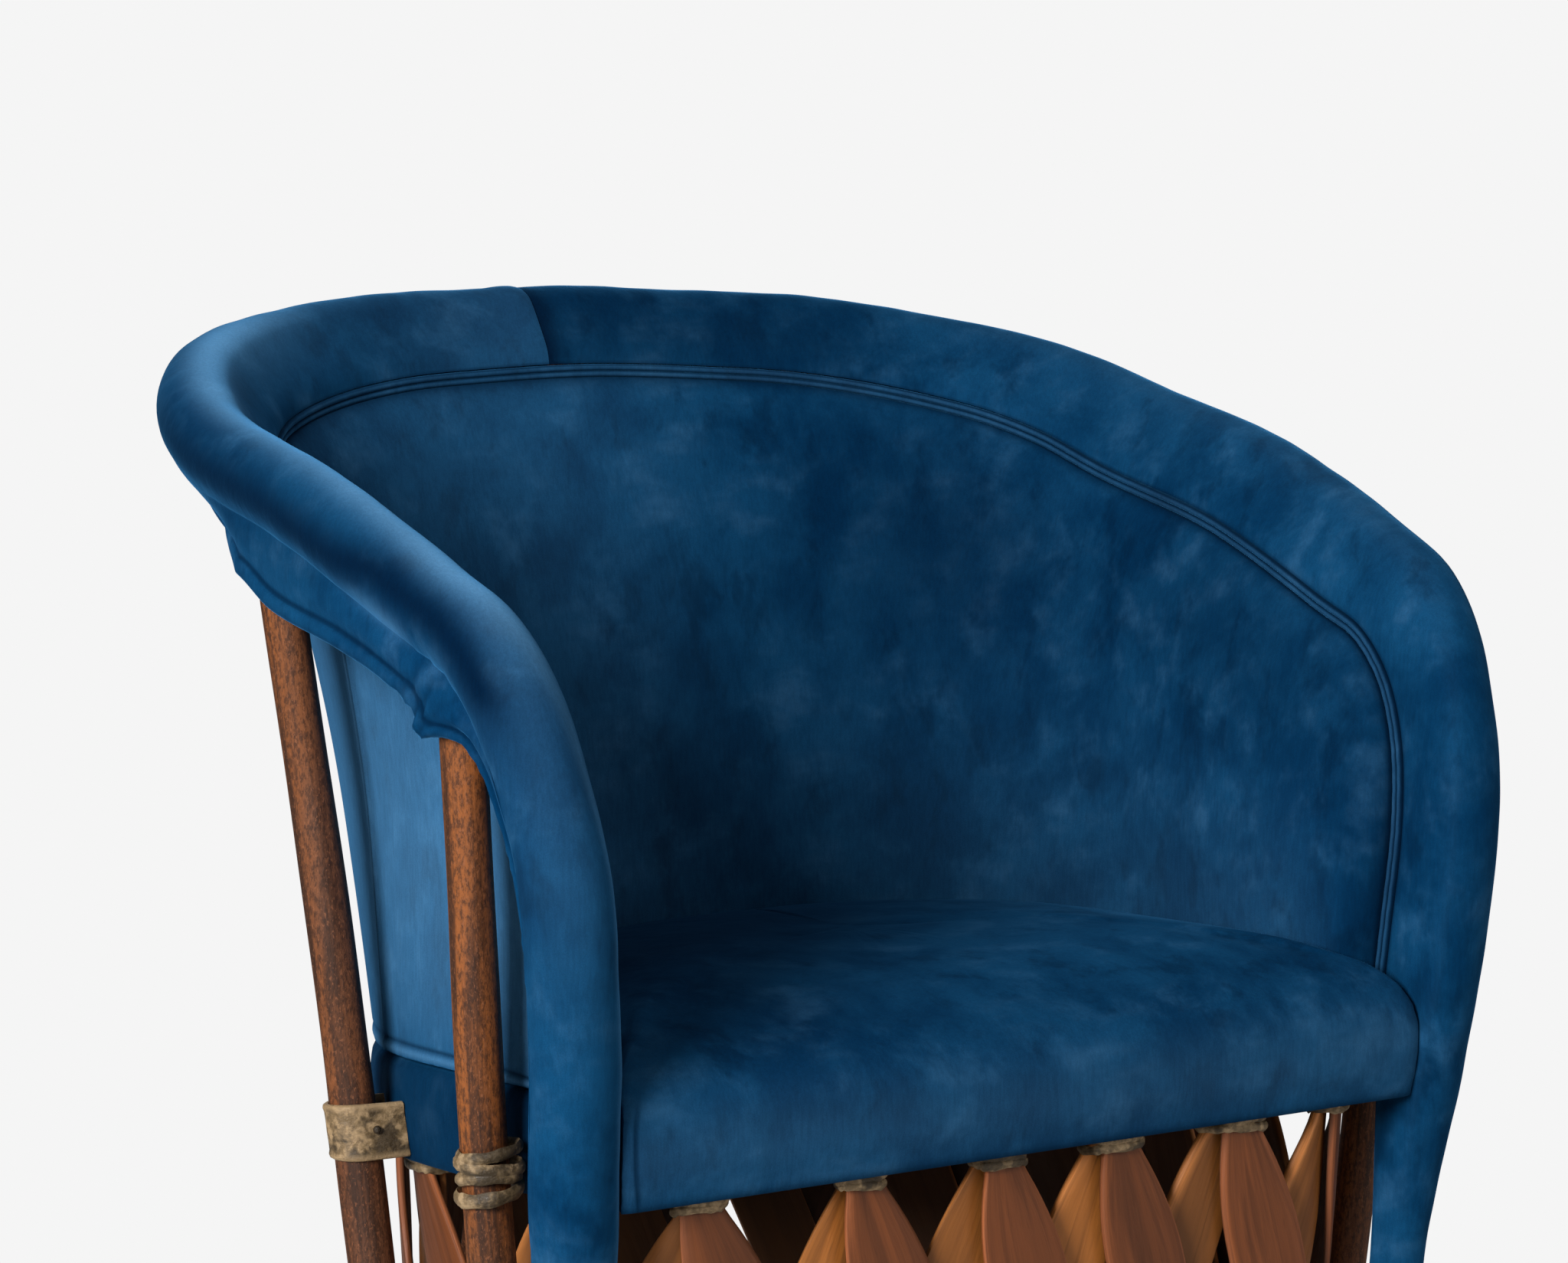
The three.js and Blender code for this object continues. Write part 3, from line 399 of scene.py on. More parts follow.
class Rim:
    """The bent pole's centre line, by way: negative to the left, 0 at the back, 1 at a foot."""

    def __init__(self, context):
        self.sizes = context.scene.chair_rim
        seat, drum = context.scene.chair_seat, context.scene.chair_drum
        rim = self.sizes
        points = []
        for turn in range(0, RIM_TURNS[-1] + 1, 12):
            across, along = math.sin(math.radians(turn)), math.cos(math.radians(turn))
            depth = rim.back_depth if along > 0 else -rim.front_depth
            drop = rim.drop * float(smooth_profile(RIM_TURNS, RIM_DROP_SHARES, turn))
            points.append((
                rim.half_width * across ** RIM_SQUARENESS,
                rim.centre_y + depth * abs(along) ** RIM_SQUARENESS,
                rim.height - drop))
        beside = seat.front_half_width + rim.post_standoff
        for width, reach, height in zip(POST_WIDTH_SHARES, POST_REACH_SHARES, POST_HEIGHT_SHARES):
            points.append((mix(beside, rim.half_width, width), -rim.post_reach * reach, rim.height * height))
        reach = drum.corner_radius + drum.wrap_flare + rim.foot_radius + GAP
        foot_turn, foot_level = math.radians(38), 14 * MM
        points.append((
            drum.base_half_width - drum.corner_radius + reach * math.cos(foot_turn),
            drum.base_front_y + drum.corner_radius - reach * math.sin(foot_turn),
            foot_level))
        right = np.array(points)
        left = right[:0:-1] * (-1, 1, 1)
        whole = np.vstack([left, right]) + (0, SHIFT_Y, 0)
        self.line = Line(spline(whole, 60))
        self.half = self.line.length / 2
        self.centre_y = rim.centre_y + SHIFT_Y
        self.seam = -rim.seam_back / self.half

    def frame(self, way):
        """Places, inward and down directions."""
        rounding = 16 * MM
        part = 0.5 + np.asarray(way, float) / 2
        point = self.line.at(part)
        along = self.line.direction(part)
        gap = self.centre_y - point[..., 1]
        back = (gap - np.sqrt(gap ** 2 + rounding ** 2)) / 2
        inward = np.stack([-point[..., 0], back, np.zeros_like(back)], axis=-1)
        inward = unit(inward - along * np.sum(inward * along, axis=-1, keepdims=True))
        return point, inward, np.cross(along, inward)

    def radius(self, way):
        full = np.clip(smooth_profile(SLEEVE_WAY_SHARES, SLEEVE_FULLNESS_SHARES, np.abs(way)), 0, 1)
        return mix(self.sizes.foot_radius, self.sizes.sleeve_radius, full)

    def skirt(self, way):
        return self.sizes.skirt_drop * smooth_profile(SKIRT_WAY_SHARES, SKIRT_DROP_SHARES, np.abs(way))

    def piping(self, way):
        way = np.abs(way)
        inward = self.sizes.piping_inward * smooth_profile(PIPING_WAY_SHARES, PIPING_INWARD_SHARES, way)
        below = self.sizes.piping_below * smooth_profile(PIPING_WAY_SHARES, PIPING_BELOW_SHARES, way)
        return inward, below


def seat_plan(context):
    seat = context.scene.chair_seat
    return Plan(seat.half_width, seat.back_depth, seat.centre_y, seat.front_y, seat.front_half_width,
                seat.corner_radius)


def drum_plan(context):
    seat, drum = context.scene.chair_seat, context.scene.chair_drum
    inset = drum.drum_inset
    return Plan(seat.half_width - inset, seat.back_depth - inset, seat.centre_y, seat.front_y + inset,
                seat.front_half_width - inset - drum.corner_inset, drum.corner_radius)


def base_plan(context):
    seat, drum = context.scene.chair_seat, context.scene.chair_drum
    return Plan(drum.base_half_width, drum.base_back_depth, seat.centre_y, drum.base_front_y,
                drum.base_half_width, drum.corner_radius)


# Meshes


STRAND_SIDES = 8


def alone(piece):
    """Only this piece is selected and active."""
    bpy.ops.object.select_all(action="DESELECT")
    piece.select_set(True)
    bpy.context.view_layer.objects.active = piece


def painted(piece, name, values):
    """A value at each vertex, read by a finish."""
    layer = piece.data.attributes.new(name, "FLOAT", "POINT")
    layer.data.foreach_set("value", np.asarray(values, np.float32))


def vertices(piece):
    flat = np.empty(len(piece.data.vertices) * 3)
    piece.data.vertices.foreach_get("co", flat)
    return flat.reshape(-1, 3)


def woven(name, points, caps=False, **paints):
    """A grid of cloth, hide or wood whose rows and columns lie on the given points, rows first.

    Rows and columns that meet at their ends are joined there, and caps closes what is left open.
    Each paint is a value at each point, read by a finish."""
    rows, columns = points.shape[:2]
    bpy.ops.object.select_all(action="DESELECT")
    bpy.ops.mesh.primitive_grid_add(x_subdivisions=columns - 1, y_subdivisions=rows - 1, size=2)
    piece = bpy.context.active_object
    piece.name = name
    piece.data.name = name
    mesh = piece.data
    flat = np.empty(len(mesh.vertices) * 3)
    mesh.vertices.foreach_get("co", flat)
    flat = flat.reshape(-1, 3)
    column = np.rint((flat[:, 0] + 1) / 2 * (columns - 1)).astype(int)
    row = np.rint((flat[:, 1] + 1) / 2 * (rows - 1)).astype(int)
    mesh.vertices.foreach_set("co", points[row, column].ravel())
    for paint, values in paints.items():
        painted(piece, paint, np.broadcast_to(values, (rows, columns))[row, column])
    steps = [np.linalg.norm(np.diff(points, axis=axis), axis=2) for axis in (0, 1)]
    height, width = (step.mean(axis=1 - axis).sum() for axis, step in enumerate(steps))
    layer = mesh.uv_layers[0]
    layer.name = "Surface"
    uv = np.empty(len(mesh.loops) * 2)
    layer.uv.foreach_get("vector", uv)
    uv = uv.reshape(-1, 2) * (width, height)
    layer.uv.foreach_set("vector", uv.ravel())
    alone(piece)
    bpy.ops.object.mode_set(mode="EDIT")
    bpy.ops.mesh.select_all(action="SELECT")
    bpy.ops.mesh.remove_doubles(threshold=1e-6)
    if caps:
        bpy.ops.mesh.select_all(action="DESELECT")
        bpy.ops.mesh.select_mode(type="EDGE")
        bpy.ops.mesh.select_non_manifold()
        bpy.ops.mesh.edge_face_add()
    bpy.ops.mesh.select_all(action="SELECT")
    bpy.ops.mesh.normals_make_consistent(inside=False)
    bpy.ops.object.mode_set(mode="OBJECT")
    piece.data.update()
    return piece


def sloped(piece):
    """Between base and arms, a piece rises in front of one line and falls behind it, as the seat does."""
    seat, drum = bpy.context.scene.chair_seat, bpy.context.scene.chair_drum
    spots = vertices(piece)
    above = smoothstep(spots[:, 2], seat.slope_foot, drum.tie_top - drum.tie_height)
    beyond = smoothstep(spots[:, 2], seat.level + seat.crown_height, seat.slope_arm)
    ahead = seat.slope_line_y + SHIFT_Y - spots[:, 1]
    spots[:, 2] += seat.slope_share * above * (1 - beyond) * ahead
    piece.data.vertices.foreach_set("co", spots.ravel())
    piece.data.update()


def finished(piece, material, slot, nodes, angle=60):
    """The seat's slope, smooth shading, a finish and the frame's body, with the frame's own nodes hidden."""
    sloped(piece)
    alone(piece)
    bpy.ops.object.shade_smooth_by_angle(angle=math.radians(angle))
    piece.data.materials.clear()
    piece.data.materials.append(material)
    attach(piece, "root")
    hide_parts(*nodes)


def joined(name, pieces):
    """Several pieces as one."""
    bpy.ops.object.select_all(action="DESELECT")
    for piece in pieces:
        piece.select_set(True)
    bpy.context.view_layer.objects.active = pieces[0]
    bpy.ops.object.join()
    pieces[0].name = name
    pieces[0].data.name = name
    return pieces[0]


def lumps(points, scale, seed):
    """Soft unevenness at each point, about -1 to 1."""
    flat = points.reshape(-1, 3)
    values = [noise.noise(Vector(point * scale) + Vector((seed, -seed, seed / 2))) for point in flat]
    return np.array(values).reshape(points.shape[:-1])


def tube(name, centres, radii, sides, loop=False, lift=(0, 0, 1)):
    """A round or uneven tube along the centres, closed on itself or at its two ends."""
    centres = np.asarray(centres, float)
    if loop:
        forward = unit(np.roll(centres, -1, axis=0) - np.roll(centres, 1, axis=0))
    else:
        forward = unit(np.gradient(centres, axis=0))
    side = unit(np.cross(forward, lift))
    up = np.cross(side, forward)
    turn = np.linspace(0, 2 * math.pi, sides + 1)
    radii = np.broadcast_to(np.asarray(radii, float), (len(centres), sides + 1))
    ring = side[:, None] * np.cos(turn)[None, :, None] + up[:, None] * np.sin(turn)[None, :, None]
    points = centres[:, None] + ring * radii[..., None]
    if loop:
        points = np.vstack([points, points[:1]])
    return woven(name, points, caps=not loop)


def strand(name, centres, thin, wide, wave):
    """A flat strand of hide, closed on itself, that swells and thins along its length."""
    turn = np.linspace(0, 2 * math.pi, STRAND_SIDES + 1)
    radii = 1 / np.hypot(np.cos(turn) / thin, np.sin(turn) / wide)
    return tube(name, centres, wave[:, None] * radii[None, :], sides=STRAND_SIDES, loop=True)


# Finishes


def toned(colour, factor, lift=0.0):
    """A paler or darker form of a colour."""
    return tuple(min(1, value * factor + lift) for value in colour)


class Finish:
    """A surface made from patterns alone."""

    def __init__(self, name, roughness):
        self.material = bpy.data.materials.new(name)
        self.material.use_nodes = True
        self.tree = self.material.node_tree
        self.shader = self.tree.nodes["Principled BSDF"]
        self.shader.inputs["Roughness"].default_value = roughness
        self.source = self.tree.nodes.new("ShaderNodeTexCoord")

    def set(self, **values):
        for name, value in values.items():
            self.shader.inputs[name.replace("_", " ").title().replace("Ior", "IOR")].default_value = value

    def node(self, kind, links=None, **settings):
        made = self.tree.nodes.new(kind)
        for key, value in settings.items():
            setattr(made, key, value)
        for socket, value in (links or {}).items():
            if isinstance(value, bpy.types.NodeSocket):
                self.tree.links.new(value, made.inputs[socket])
            else:
                made.inputs[socket].default_value = value
        return made

    def place(self, scale=(1, 1, 1), turn=(0, 0, 0), uv=False):
        start = self.source.outputs["UV" if uv else "Object"]
        return self.node("ShaderNodeMapping", {"Vector": start, "Scale": scale, "Rotation": turn}).outputs[0]

    def noise(self, vector, scale, detail=2.0, roughness=0.5, distortion=0.0):
        return self.node("ShaderNodeTexNoise", {
            "Vector": vector, "Scale": scale, "Detail": detail, "Roughness": roughness,
            "Distortion": distortion}).outputs["Fac"]

    def between(self, value, low, high, start=0.0, end=1.0):
        return self.node("ShaderNodeMapRange", {
            "Value": value, "From Min": low, "From Max": high, "To Min": start, "To Max": end},
            interpolation_type="SMOOTHSTEP").outputs[0]

    def sum(self, first, second):
        return self.node("ShaderNodeMath", {0: first, 1: second}, operation="ADD").outputs[0]

    def product(self, first, second):
        return self.node("ShaderNodeMath", {0: first, 1: second}, operation="MULTIPLY").outputs[0]

    def blend(self, part, first, second, kind="MIX"):
        made = self.node("ShaderNodeMix", data_type="RGBA", blend_type=kind)
        for socket, value in zip((made.inputs[0], made.inputs[6], made.inputs[7]), (part, first, second)):
            if isinstance(value, bpy.types.NodeSocket):
                self.tree.links.new(value, socket)
            else:
                socket.default_value = (*value, 1) if np.ndim(value) and len(value) == 3 else value
        return made.outputs[2]

    def layered(self, shade, *layers):
        """Colours laid one over another, each where its pattern climbs from low to high, up to its most."""
        for pattern, low, high, most, colour in layers:
            shade = self.blend(self.between(pattern, low, high, 0, most), shade, colour)
        return shade

    def attribute(self, name):
        return self.node("ShaderNodeAttribute", attribute_name=name).outputs["Fac"]

    def colour(self, value):
        self.tree.links.new(value, self.shader.inputs["Base Color"])

    def rough(self, value):
        self.tree.links.new(value, self.shader.inputs["Roughness"])

    def bump(self, *layers):
        """Layers of height, each a value and its depth in metres."""
        normal = None
        for value, depth in layers:
            links = {"Height": value, "Distance": depth, "Strength": 1.0}
            if normal is not None:
                links["Normal"] = normal
            normal = self.node("ShaderNodeBump", links).outputs[0]
        self.tree.links.new(normal, self.shader.inputs["Normal"])


def velvet_finish(colours, name, dark=0.0, sheen=0.6):
    """Cotton velvet: a short pile with faint smudges and strokes, painted shade in folds, seams and recesses,
    and painted highlights where light falls.
    """
    finish = Finish(name, roughness=0.85)
    finish.set(sheen_weight=sheen, sheen_roughness=0.35, sheen_tint=(*colours.velvet_sheen, 1),
               specular_ior_level=0.03)
    cloud = finish.noise(finish.place(), 7.0, 2.0, 0.5, 0.1)
    patch = finish.noise(finish.place((1, 1, 0.8), (0.4, 0.2, 0.7)), 24.0, 4.0, 0.6, 0.2)
    strokes = finish.noise(finish.place((1, 1, 0.4), (0.35, 0.6, 0.2)), 46.0, 4.0, 0.6, 0.2)
    marks = finish.noise(finish.place((0.4, 1, 1), (0.9, 0.5, 0.6)), 48.0, 3.0, 0.55, 0.0)
    weave = finish.noise(finish.place((1, 1, 0.12)), 620.0, 2.0, 0.6)
    pile = finish.noise(finish.place(), 1500.0, 2.0, 0.6)
    wide = finish.sum(finish.product(cloud, 0.45), finish.product(patch, 0.55))
    pressed_and_shade = tuple(colours.velvet_crease)
    shade = finish.blend(finish.between(wide, 0.36, 0.62), tuple(colours.velvet_deep), tuple(colours.velvet))
    smudge = finish.product(finish.between(strokes, 0.5, 0.66), finish.between(patch, 0.58, 0.44))
    shade = finish.blend(finish.product(smudge, 0.38), shade, pressed_and_shade)
    light = finish.product(finish.between(marks, 0.42, 0.7), finish.between(patch, 0.42, 0.68))
    # Painted highlights, read from each piece's attribute, over the pile's faint lighter marks
    light = finish.sum(finish.product(light, 0.13), finish.attribute("brushed"))
    shade = finish.blend(light, shade, tuple(colours.velvet_light))
    # Painted shade in folds, seams, recesses and shaded places, read from each piece's attribute
    shade = finish.blend(finish.attribute("crease"), shade, pressed_and_shade)
    tips, threads = finish.between(pile, 0.25, 0.75, 0.9, 1.1), finish.between(weave, 0.3, 0.7, 0.93, 1.07)
    grain = finish.product(tips, threads)
    grey = finish.node("ShaderNodeCombineXYZ", {0: grain, 1: grain, 2: grain}).outputs[0]
    shade = finish.blend(1.0, shade, grey, "MULTIPLY")
    # Painted shade over the whole surface, for a copy of the velvet that lies in shade
    if dark:
        shade = finish.blend(dark, shade, pressed_and_shade)
    finish.colour(shade)
    finish.rough(finish.between(wide, 0.4, 0.6, 0.9, 0.78))
    finish.bump((patch, 0.0012), (strokes, 0.0003), (pile, 0.00008))
    return finish.material


def wood_finish(colour, name):
    """Split wood with its grain along the piece, each piece its own tone, and paler worn edges."""
    finish = Finish(name, roughness=0.5)
    finish.set(specular_ior_level=0.4)
    deep, pale = toned(colour, 0.3), toned(colour, 2.3, 0.03)
    fibre = finish.noise(finish.place((260, 9, 1), uv=True), 1.0, 5.0, 0.62, 0.6)
    rings = finish.noise(finish.place((55, 2.2, 1), uv=True), 1.0, 2.0, 0.5, 1.4)
    fleck = finish.noise(finish.place((900, 60, 1), uv=True), 1.0, 2.0, 0.5)
    base = finish.blend(finish.attribute("tone"), toned(colour, 0.66), toned(colour, 1.35))
    ringed = finish.blend(finish.between(rings, 0.35, 0.66), base, deep)
    shade = finish.blend(0.45, base, ringed)
    shade = finish.layered(shade, (fibre, 0.42, 0.72, 0.55, deep), (fleck, 0.62, 0.8, 0.35, deep))
    worn = finish.product(finish.attribute("edge"), finish.between(fibre, 0.3, 0.6, 0.75, 0.35))
    shade = finish.blend(worn, shade, pale)
    # Painted shade on the slats' inner faces, inside the drum
    shade = finish.blend(finish.attribute("crease"), shade, toned(colour, 0.1))
    finish.colour(shade)
    finish.rough(finish.between(fibre, 0.3, 0.7, 0.38, 0.62))
    finish.bump((rings, 0.0004), (fibre, 0.00035), (fleck, 0.0001))
    return finish.material


def bark_finish(colour, peeled, name):
    """A peeled pole: mottled bark in patches and streaks over golden wood, with pores and a few knots."""
    finish = Finish(name, roughness=0.62)
    finish.set(specular_ior_level=0.3)
    streak = finish.noise(finish.place((150, 6, 1), uv=True), 1.0, 5.0, 0.6, 0.3)
    patch = finish.noise(finish.place((26, 5, 1), uv=True), 1.0, 3.0, 0.6, 0.5)
    mottle = finish.noise(finish.place((1, 1, 0.4)), 520.0, 5.0, 0.75, 0.0)
    pore = finish.noise(finish.place((1, 1, 0.5)), 900.0, 2.0, 0.6)
    deep = toned(colour, 0.24)
    worn = finish.between(finish.sum(patch, finish.attribute("tone")), 0.72, 1.1)
    shade = finish.layered(
        finish.blend(worn, colour, peeled),
        (mottle, 0.42, 0.62, 0.8, deep),
        (streak, 0.42, 0.66, 0.9, deep),
        (pore, 0.56, 0.7, 0.5, toned(colour, 2.2)))
    shade = finish.blend(finish.attribute("knot"), shade, deep)
    finish.colour(shade)
    finish.rough(finish.between(patch, 0.3, 0.7, 0.5, 0.72))
    finish.bump((patch, 0.0006), (streak, 0.0005), (mottle, 0.0004))
    return finish.material


def hide_finish(colour, name):
    """Dried hide: mottled, hard and slightly glossy, stained dark in places and pale along its edges."""
    finish = Finish(name, roughness=0.5)
    finish.set(specular_ior_level=0.4)
    mottle = finish.noise(finish.place(), 200.0, 4.0, 0.6, 0.2)
    stain = finish.noise(finish.place(), 70.0, 3.0, 0.6, 0.2)
    crease = finish.noise(finish.place((1, 1, 3)), 420.0, 3.0, 0.7, 1.0)
    deep, pale = toned(colour, 0.16), toned(colour, 2.1, 0.03)
    shade = finish.blend(finish.between(mottle, 0.4, 0.64), colour, pale)
    shade = finish.layered(shade, (stain, 0.46, 0.6, 0.85, deep), (crease, 0.58, 0.76, 0.6, deep))
    shade = finish.blend(finish.product(finish.attribute("brushed"), 0.8), shade, pale)
    shade = finish.blend(finish.attribute("crease"), shade, deep)
    finish.colour(shade)
    finish.rough(finish.between(mottle, 0.3, 0.7, 0.4, 0.66))
    finish.bump((mottle, 0.0008), (crease, 0.0004))
    return finish.material


def pole_finish(colour, name):
    """A bent pole, mostly under velvet, with bark in patches."""
    finish = Finish(name, roughness=0.66)
    patch = finish.noise(finish.place(), 45.0, 4.0, 0.6, 0.8)
    pore = finish.noise(finish.place((1, 1, 0.4)), 420.0, 3.0, 0.6)
    deep = toned(colour, 0.35)
    shade = finish.blend(finish.between(patch, 0.35, 0.68), colour, deep)
    shade = finish.layered(shade, (pore, 0.56, 0.75, 0.5, deep))
    finish.colour(shade)
    finish.rough(finish.between(patch, 0.3, 0.7, 0.55, 0.75))
    finish.bump((patch, 0.0006), (pore, 0.0003))
    return finish.material


def board_finish(colour, name):
    """Plain board with its grain across the seat."""
    finish = Finish(name, roughness=0.7)
    grain = finish.noise(finish.place((4, 120, 40)), 1.0, 4.0, 0.6, 0.8)
    finish.colour(finish.blend(finish.between(grain, 0.35, 0.7), colour, toned(colour, 0.55)))
    finish.bump((grain, 0.0003))
    return finish.material


def finish_for(context, name):
    """The named finish, made once."""
    made = f"{name}_finish"
    if made in bpy.data.materials:
        return bpy.data.materials[made]
    colours = context.scene.chair_colours
    makers = {
        "velvet": lambda: velvet_finish(colours, made),
        "inner_velvet": lambda: velvet_finish(colours, made, 0.0, 0.22),
        # The seat's velvet: a copy with a little painted shade over all of it, and less sheen
        "shaded_seat_velvet": lambda: velvet_finish(colours, made, 0.07, 0.12),
        "cedar": lambda: wood_finish(tuple(colours.cedar), made),
        "pale_cedar": lambda: wood_finish(tuple(colours.cedar_pale), made),
        "bark": lambda: bark_finish(tuple(colours.bark), tuple(colours.bark_peeled), made),
        "rawhide": lambda: hide_finish(tuple(colours.rawhide), made),
        "strap_hide": lambda: hide_finish(tuple(colours.strap), made),
        "pole": lambda: pole_finish(tuple(colours.bark), made),
        "board": lambda: board_finish(tuple(colours.board), made),
    }
    return makers[name]()


# Stage


# Place and width in metres, and power in watts
LAMPS = [
    ((-2.4, -1.2, 1.5), 1.1, 92),
    ((1.4, -2.6, 1.1), 1.6, 12),
    ((0.4, 0.1, 2.9), 1.8, 9),
    ((1.2, 2.5, 1.4), 2.0, 8),
]
LAMPS_AIM = Vector((0, 0, 0.6))


class CHAIR_OT_stage(bpy.types.Operator):
    """Camera, soft lamps, floor and backdrop"""
    bl_idname = "chair.stage"
    bl_label = "Stage"

    def execute(self, context):
        studio = context.scene.chair_studio
        look = Vector((studio.look_x, studio.look_y, studio.look_z))
        turn, rise = studio.camera_turn, studio.camera_rise
        offset = Vector((math.sin(turn) * math.cos(rise), -math.cos(turn) * math.cos(rise), math.sin(rise)))
        bpy.ops.object.select_all(action="DESELECT")
        bpy.ops.object.camera_add(location=look + studio.camera_distance * offset)
        camera = context.active_object
        camera.rotation_euler = (-offset).to_track_quat("-Z", "Y").to_euler()
        camera.data.sensor_fit = "HORIZONTAL"
        camera.data.sensor_width = 36
        camera.data.lens = studio.lens
        context.scene.camera = camera
        for place, width, power in LAMPS:
            self.lamp(place, width, power)
        self.world(context, studio)
        self.floor(studio)
        context.scene.view_settings.view_transform = "Standard"
        return {"FINISHED"}

    def lamp(self, place, width, power):
        bpy.ops.object.light_add(type="AREA", location=place)
        lamp = bpy.context.active_object
        lamp.rotation_euler = (LAMPS_AIM - Vector(place)).to_track_quat("-Z", "Y").to_euler()
        lamp.data.shape = "DISK"
        lamp.data.size = width
        lamp.data.energy = power

    def world(self, context, studio):
        world = bpy.data.worlds.new("Studio")
        context.scene.world = world
        world.use_nodes = True
        nodes, links = world.node_tree.nodes, world.node_tree.links
        fill = nodes["Background"]
        fill.inputs["Color"].default_value = (1, 1, 1, 1)
        fill.inputs["Strength"].default_value = 0.12
        seen = nodes.new("ShaderNodeBackground")
        seen.inputs["Color"].default_value = (*studio.backdrop, 1)
        seen.inputs["Strength"].default_value = 1.0
        path = nodes.new("ShaderNodeLightPath")
        both = nodes.new("ShaderNodeMixShader")
        links.new(path.outputs["Is Camera Ray"], both.inputs[0])
        links.new(fill.outputs[0], both.inputs[1])
        links.new(seen.outputs[0], both.inputs[2])
        links.new(both.outputs[0], nodes["World Output"].inputs["Surface"])

    def floor(self, studio):
        bpy.ops.object.select_all(action="DESELECT")
        bpy.ops.mesh.primitive_plane_add(size=2 * studio.floor_reach, location=(0, 0, 0))
        floor = bpy.context.active_object
        floor.name = "studio_floor"
        floor.data.transform(floor.matrix_world)
        floor.location = (0, 0, 0)
        finish = Finish("studio_floor", roughness=0.9)
        finish.set(specular_ior_level=0.0)
        finish.shader.inputs["Base Color"].default_value = (*studio.floor, 1)
        far = finish.node("ShaderNodeEmission", {"Color": (*studio.backdrop, 1), "Strength": 1.0})
        place = finish.source.outputs["Object"]
        distance = finish.node("ShaderNodeVectorMath", {0: place}, operation="LENGTH").outputs["Value"]
        seen = finish.node("ShaderNodeLightPath").outputs["Is Camera Ray"]
        part = finish.product(finish.between(distance, 0.25, 1.3), seen)
        both = finish.node("ShaderNodeMixShader", {0: part, 1: finish.shader.outputs[0], 2: far.outputs[0]})
        finish.tree.links.new(both.outputs[0], finish.tree.nodes["Material Output"].inputs["Surface"])
        floor.data.materials.append(finish.material)


# Rim


# Points across the velvet's outside, and the control points that they run through, from hem to piping
SKIN_STEPS = 64
SKIN_CONTROLS = 20
NARROW_SKIRT = 14 * MM
FULL_SKIRT = 34 * MM
GATHER_WAY = 0.485


def sleeve_outline(rim, way):
    """The velvet's section at each way, inward and below: from hem to piping, then back inside."""
    sizes = rim.sizes
    way = np.asarray(way, float)
    radius = rim.radius(way)
    inward, below = rim.piping(way)
    drop = rim.skirt(way)
    lean = drop * np.interp(np.abs(way), SKIRT_LEAN_WAY_SHARES, SKIRT_LEAN_SHARES)
    leg = sizes.leg_thickness * smooth_profile(LEG_WAY_SHARES, LEG_THICKNESS_SHARES, np.abs(way))
    leg_end = below - sizes.piping_radius - GAP
    leg_outer = inward - GAP
    inner = sizes.bore_radius + GAP
    outer = np.minimum(inner + sizes.skirt_thickness, radius)
    bulge = np.minimum(1.6 * MM, radius - outer)
    fold = np.minimum(drop * 0.2, 9 * MM)
    wide = smoothstep(drop, NARROW_SKIRT, FULL_SKIRT)
    first = mix(-10.0, -40.0, wide)
    valley = -radius * np.cos(np.radians(first)) + 1.4 * MM * wide
    knee = -radius * np.sin(np.radians(first)) + 2.2 * MM * wide
    hem = lean - outer
    outside = [
        (hem - 0.2 * MM, drop - 0.5 * MM),
        (hem - bulge * 0.9, drop - 0.3 * fold),
        (hem - bulge * 0.7, drop - 0.8 * fold),
        (mix(valley, hem, 0.94) + 0.5 * bulge, drop - 1.1 * fold),
        (mix(valley, hem, 0.62) - 0.9 * bulge * wide, mix(knee, drop - fold, 0.62)),
        (mix(valley, hem, 0.25) - 0.8 * bulge * wide, mix(knee, drop - fold, 0.25)),
        (valley, knee),
    ]
    for step in np.linspace(0, 1, 10):
        turn = np.radians(mix(first, 144.0, step))
        outside.append((-radius * np.cos(turn), -radius * np.sin(turn)))
    outside += [
        (mix(radius * 0.92, leg_outer, 0.42) + 0.8 * MM, leg_end * 0.12),
        (mix(radius, leg_outer, 0.82) + 0.6 * MM, leg_end * 0.6),
        (leg_outer, leg_end - 0.6 * MM),
    ]
    inside = [(leg_outer - leg, leg_end)]
    for turn in np.radians(np.arange(180, -1, -30)):
        inside.append((-sizes.bore_radius * math.cos(turn), -sizes.bore_radius * math.sin(turn)))
    inside += [(-inner, np.minimum(inner, drop / 2)), (lean - inner, drop)]

    def stacked(side):
        spots = [np.stack(np.broadcast_arrays(across, down, way)[:2], axis=-1) for across, down in side]
        return np.stack(spots, axis=-2)

    return stacked(outside), stacked(inside)


def through(points, steps):
    """A smooth line through control points along the second last axis."""
    count = points.shape[-2]
    place = np.linspace(0, count - 1, steps)
    index = np.clip(place.astype(int), 0, count - 2)
    part = (place - index)[:, None]
    padded = np.concatenate([points[..., :1, :], points, points[..., -1:, :]], axis=-2)
    before, start, end, after = (padded[..., index + shift, :] for shift in range(4))
    return 0.5 * (
        2 * start + (end - before) * part + (2 * before - 5 * start + 4 * end - after) * part ** 2
        + (3 * start - before - 3 * end + after) * part ** 3)


def gathers(rim, way, columns, width):
    """How far the skirt is drawn up where it turns down by the front rod, and the folds across it there."""
    steps = np.arange(columns)
    drawn = peak(np.abs(way), GATHER_WAY, width)[:, None] * np.clip(1 - steps / 34, 0, 1)
    return drawn, np.sin(steps * 0.25 + way[:, None] * rim.half / (2.6 * MM))


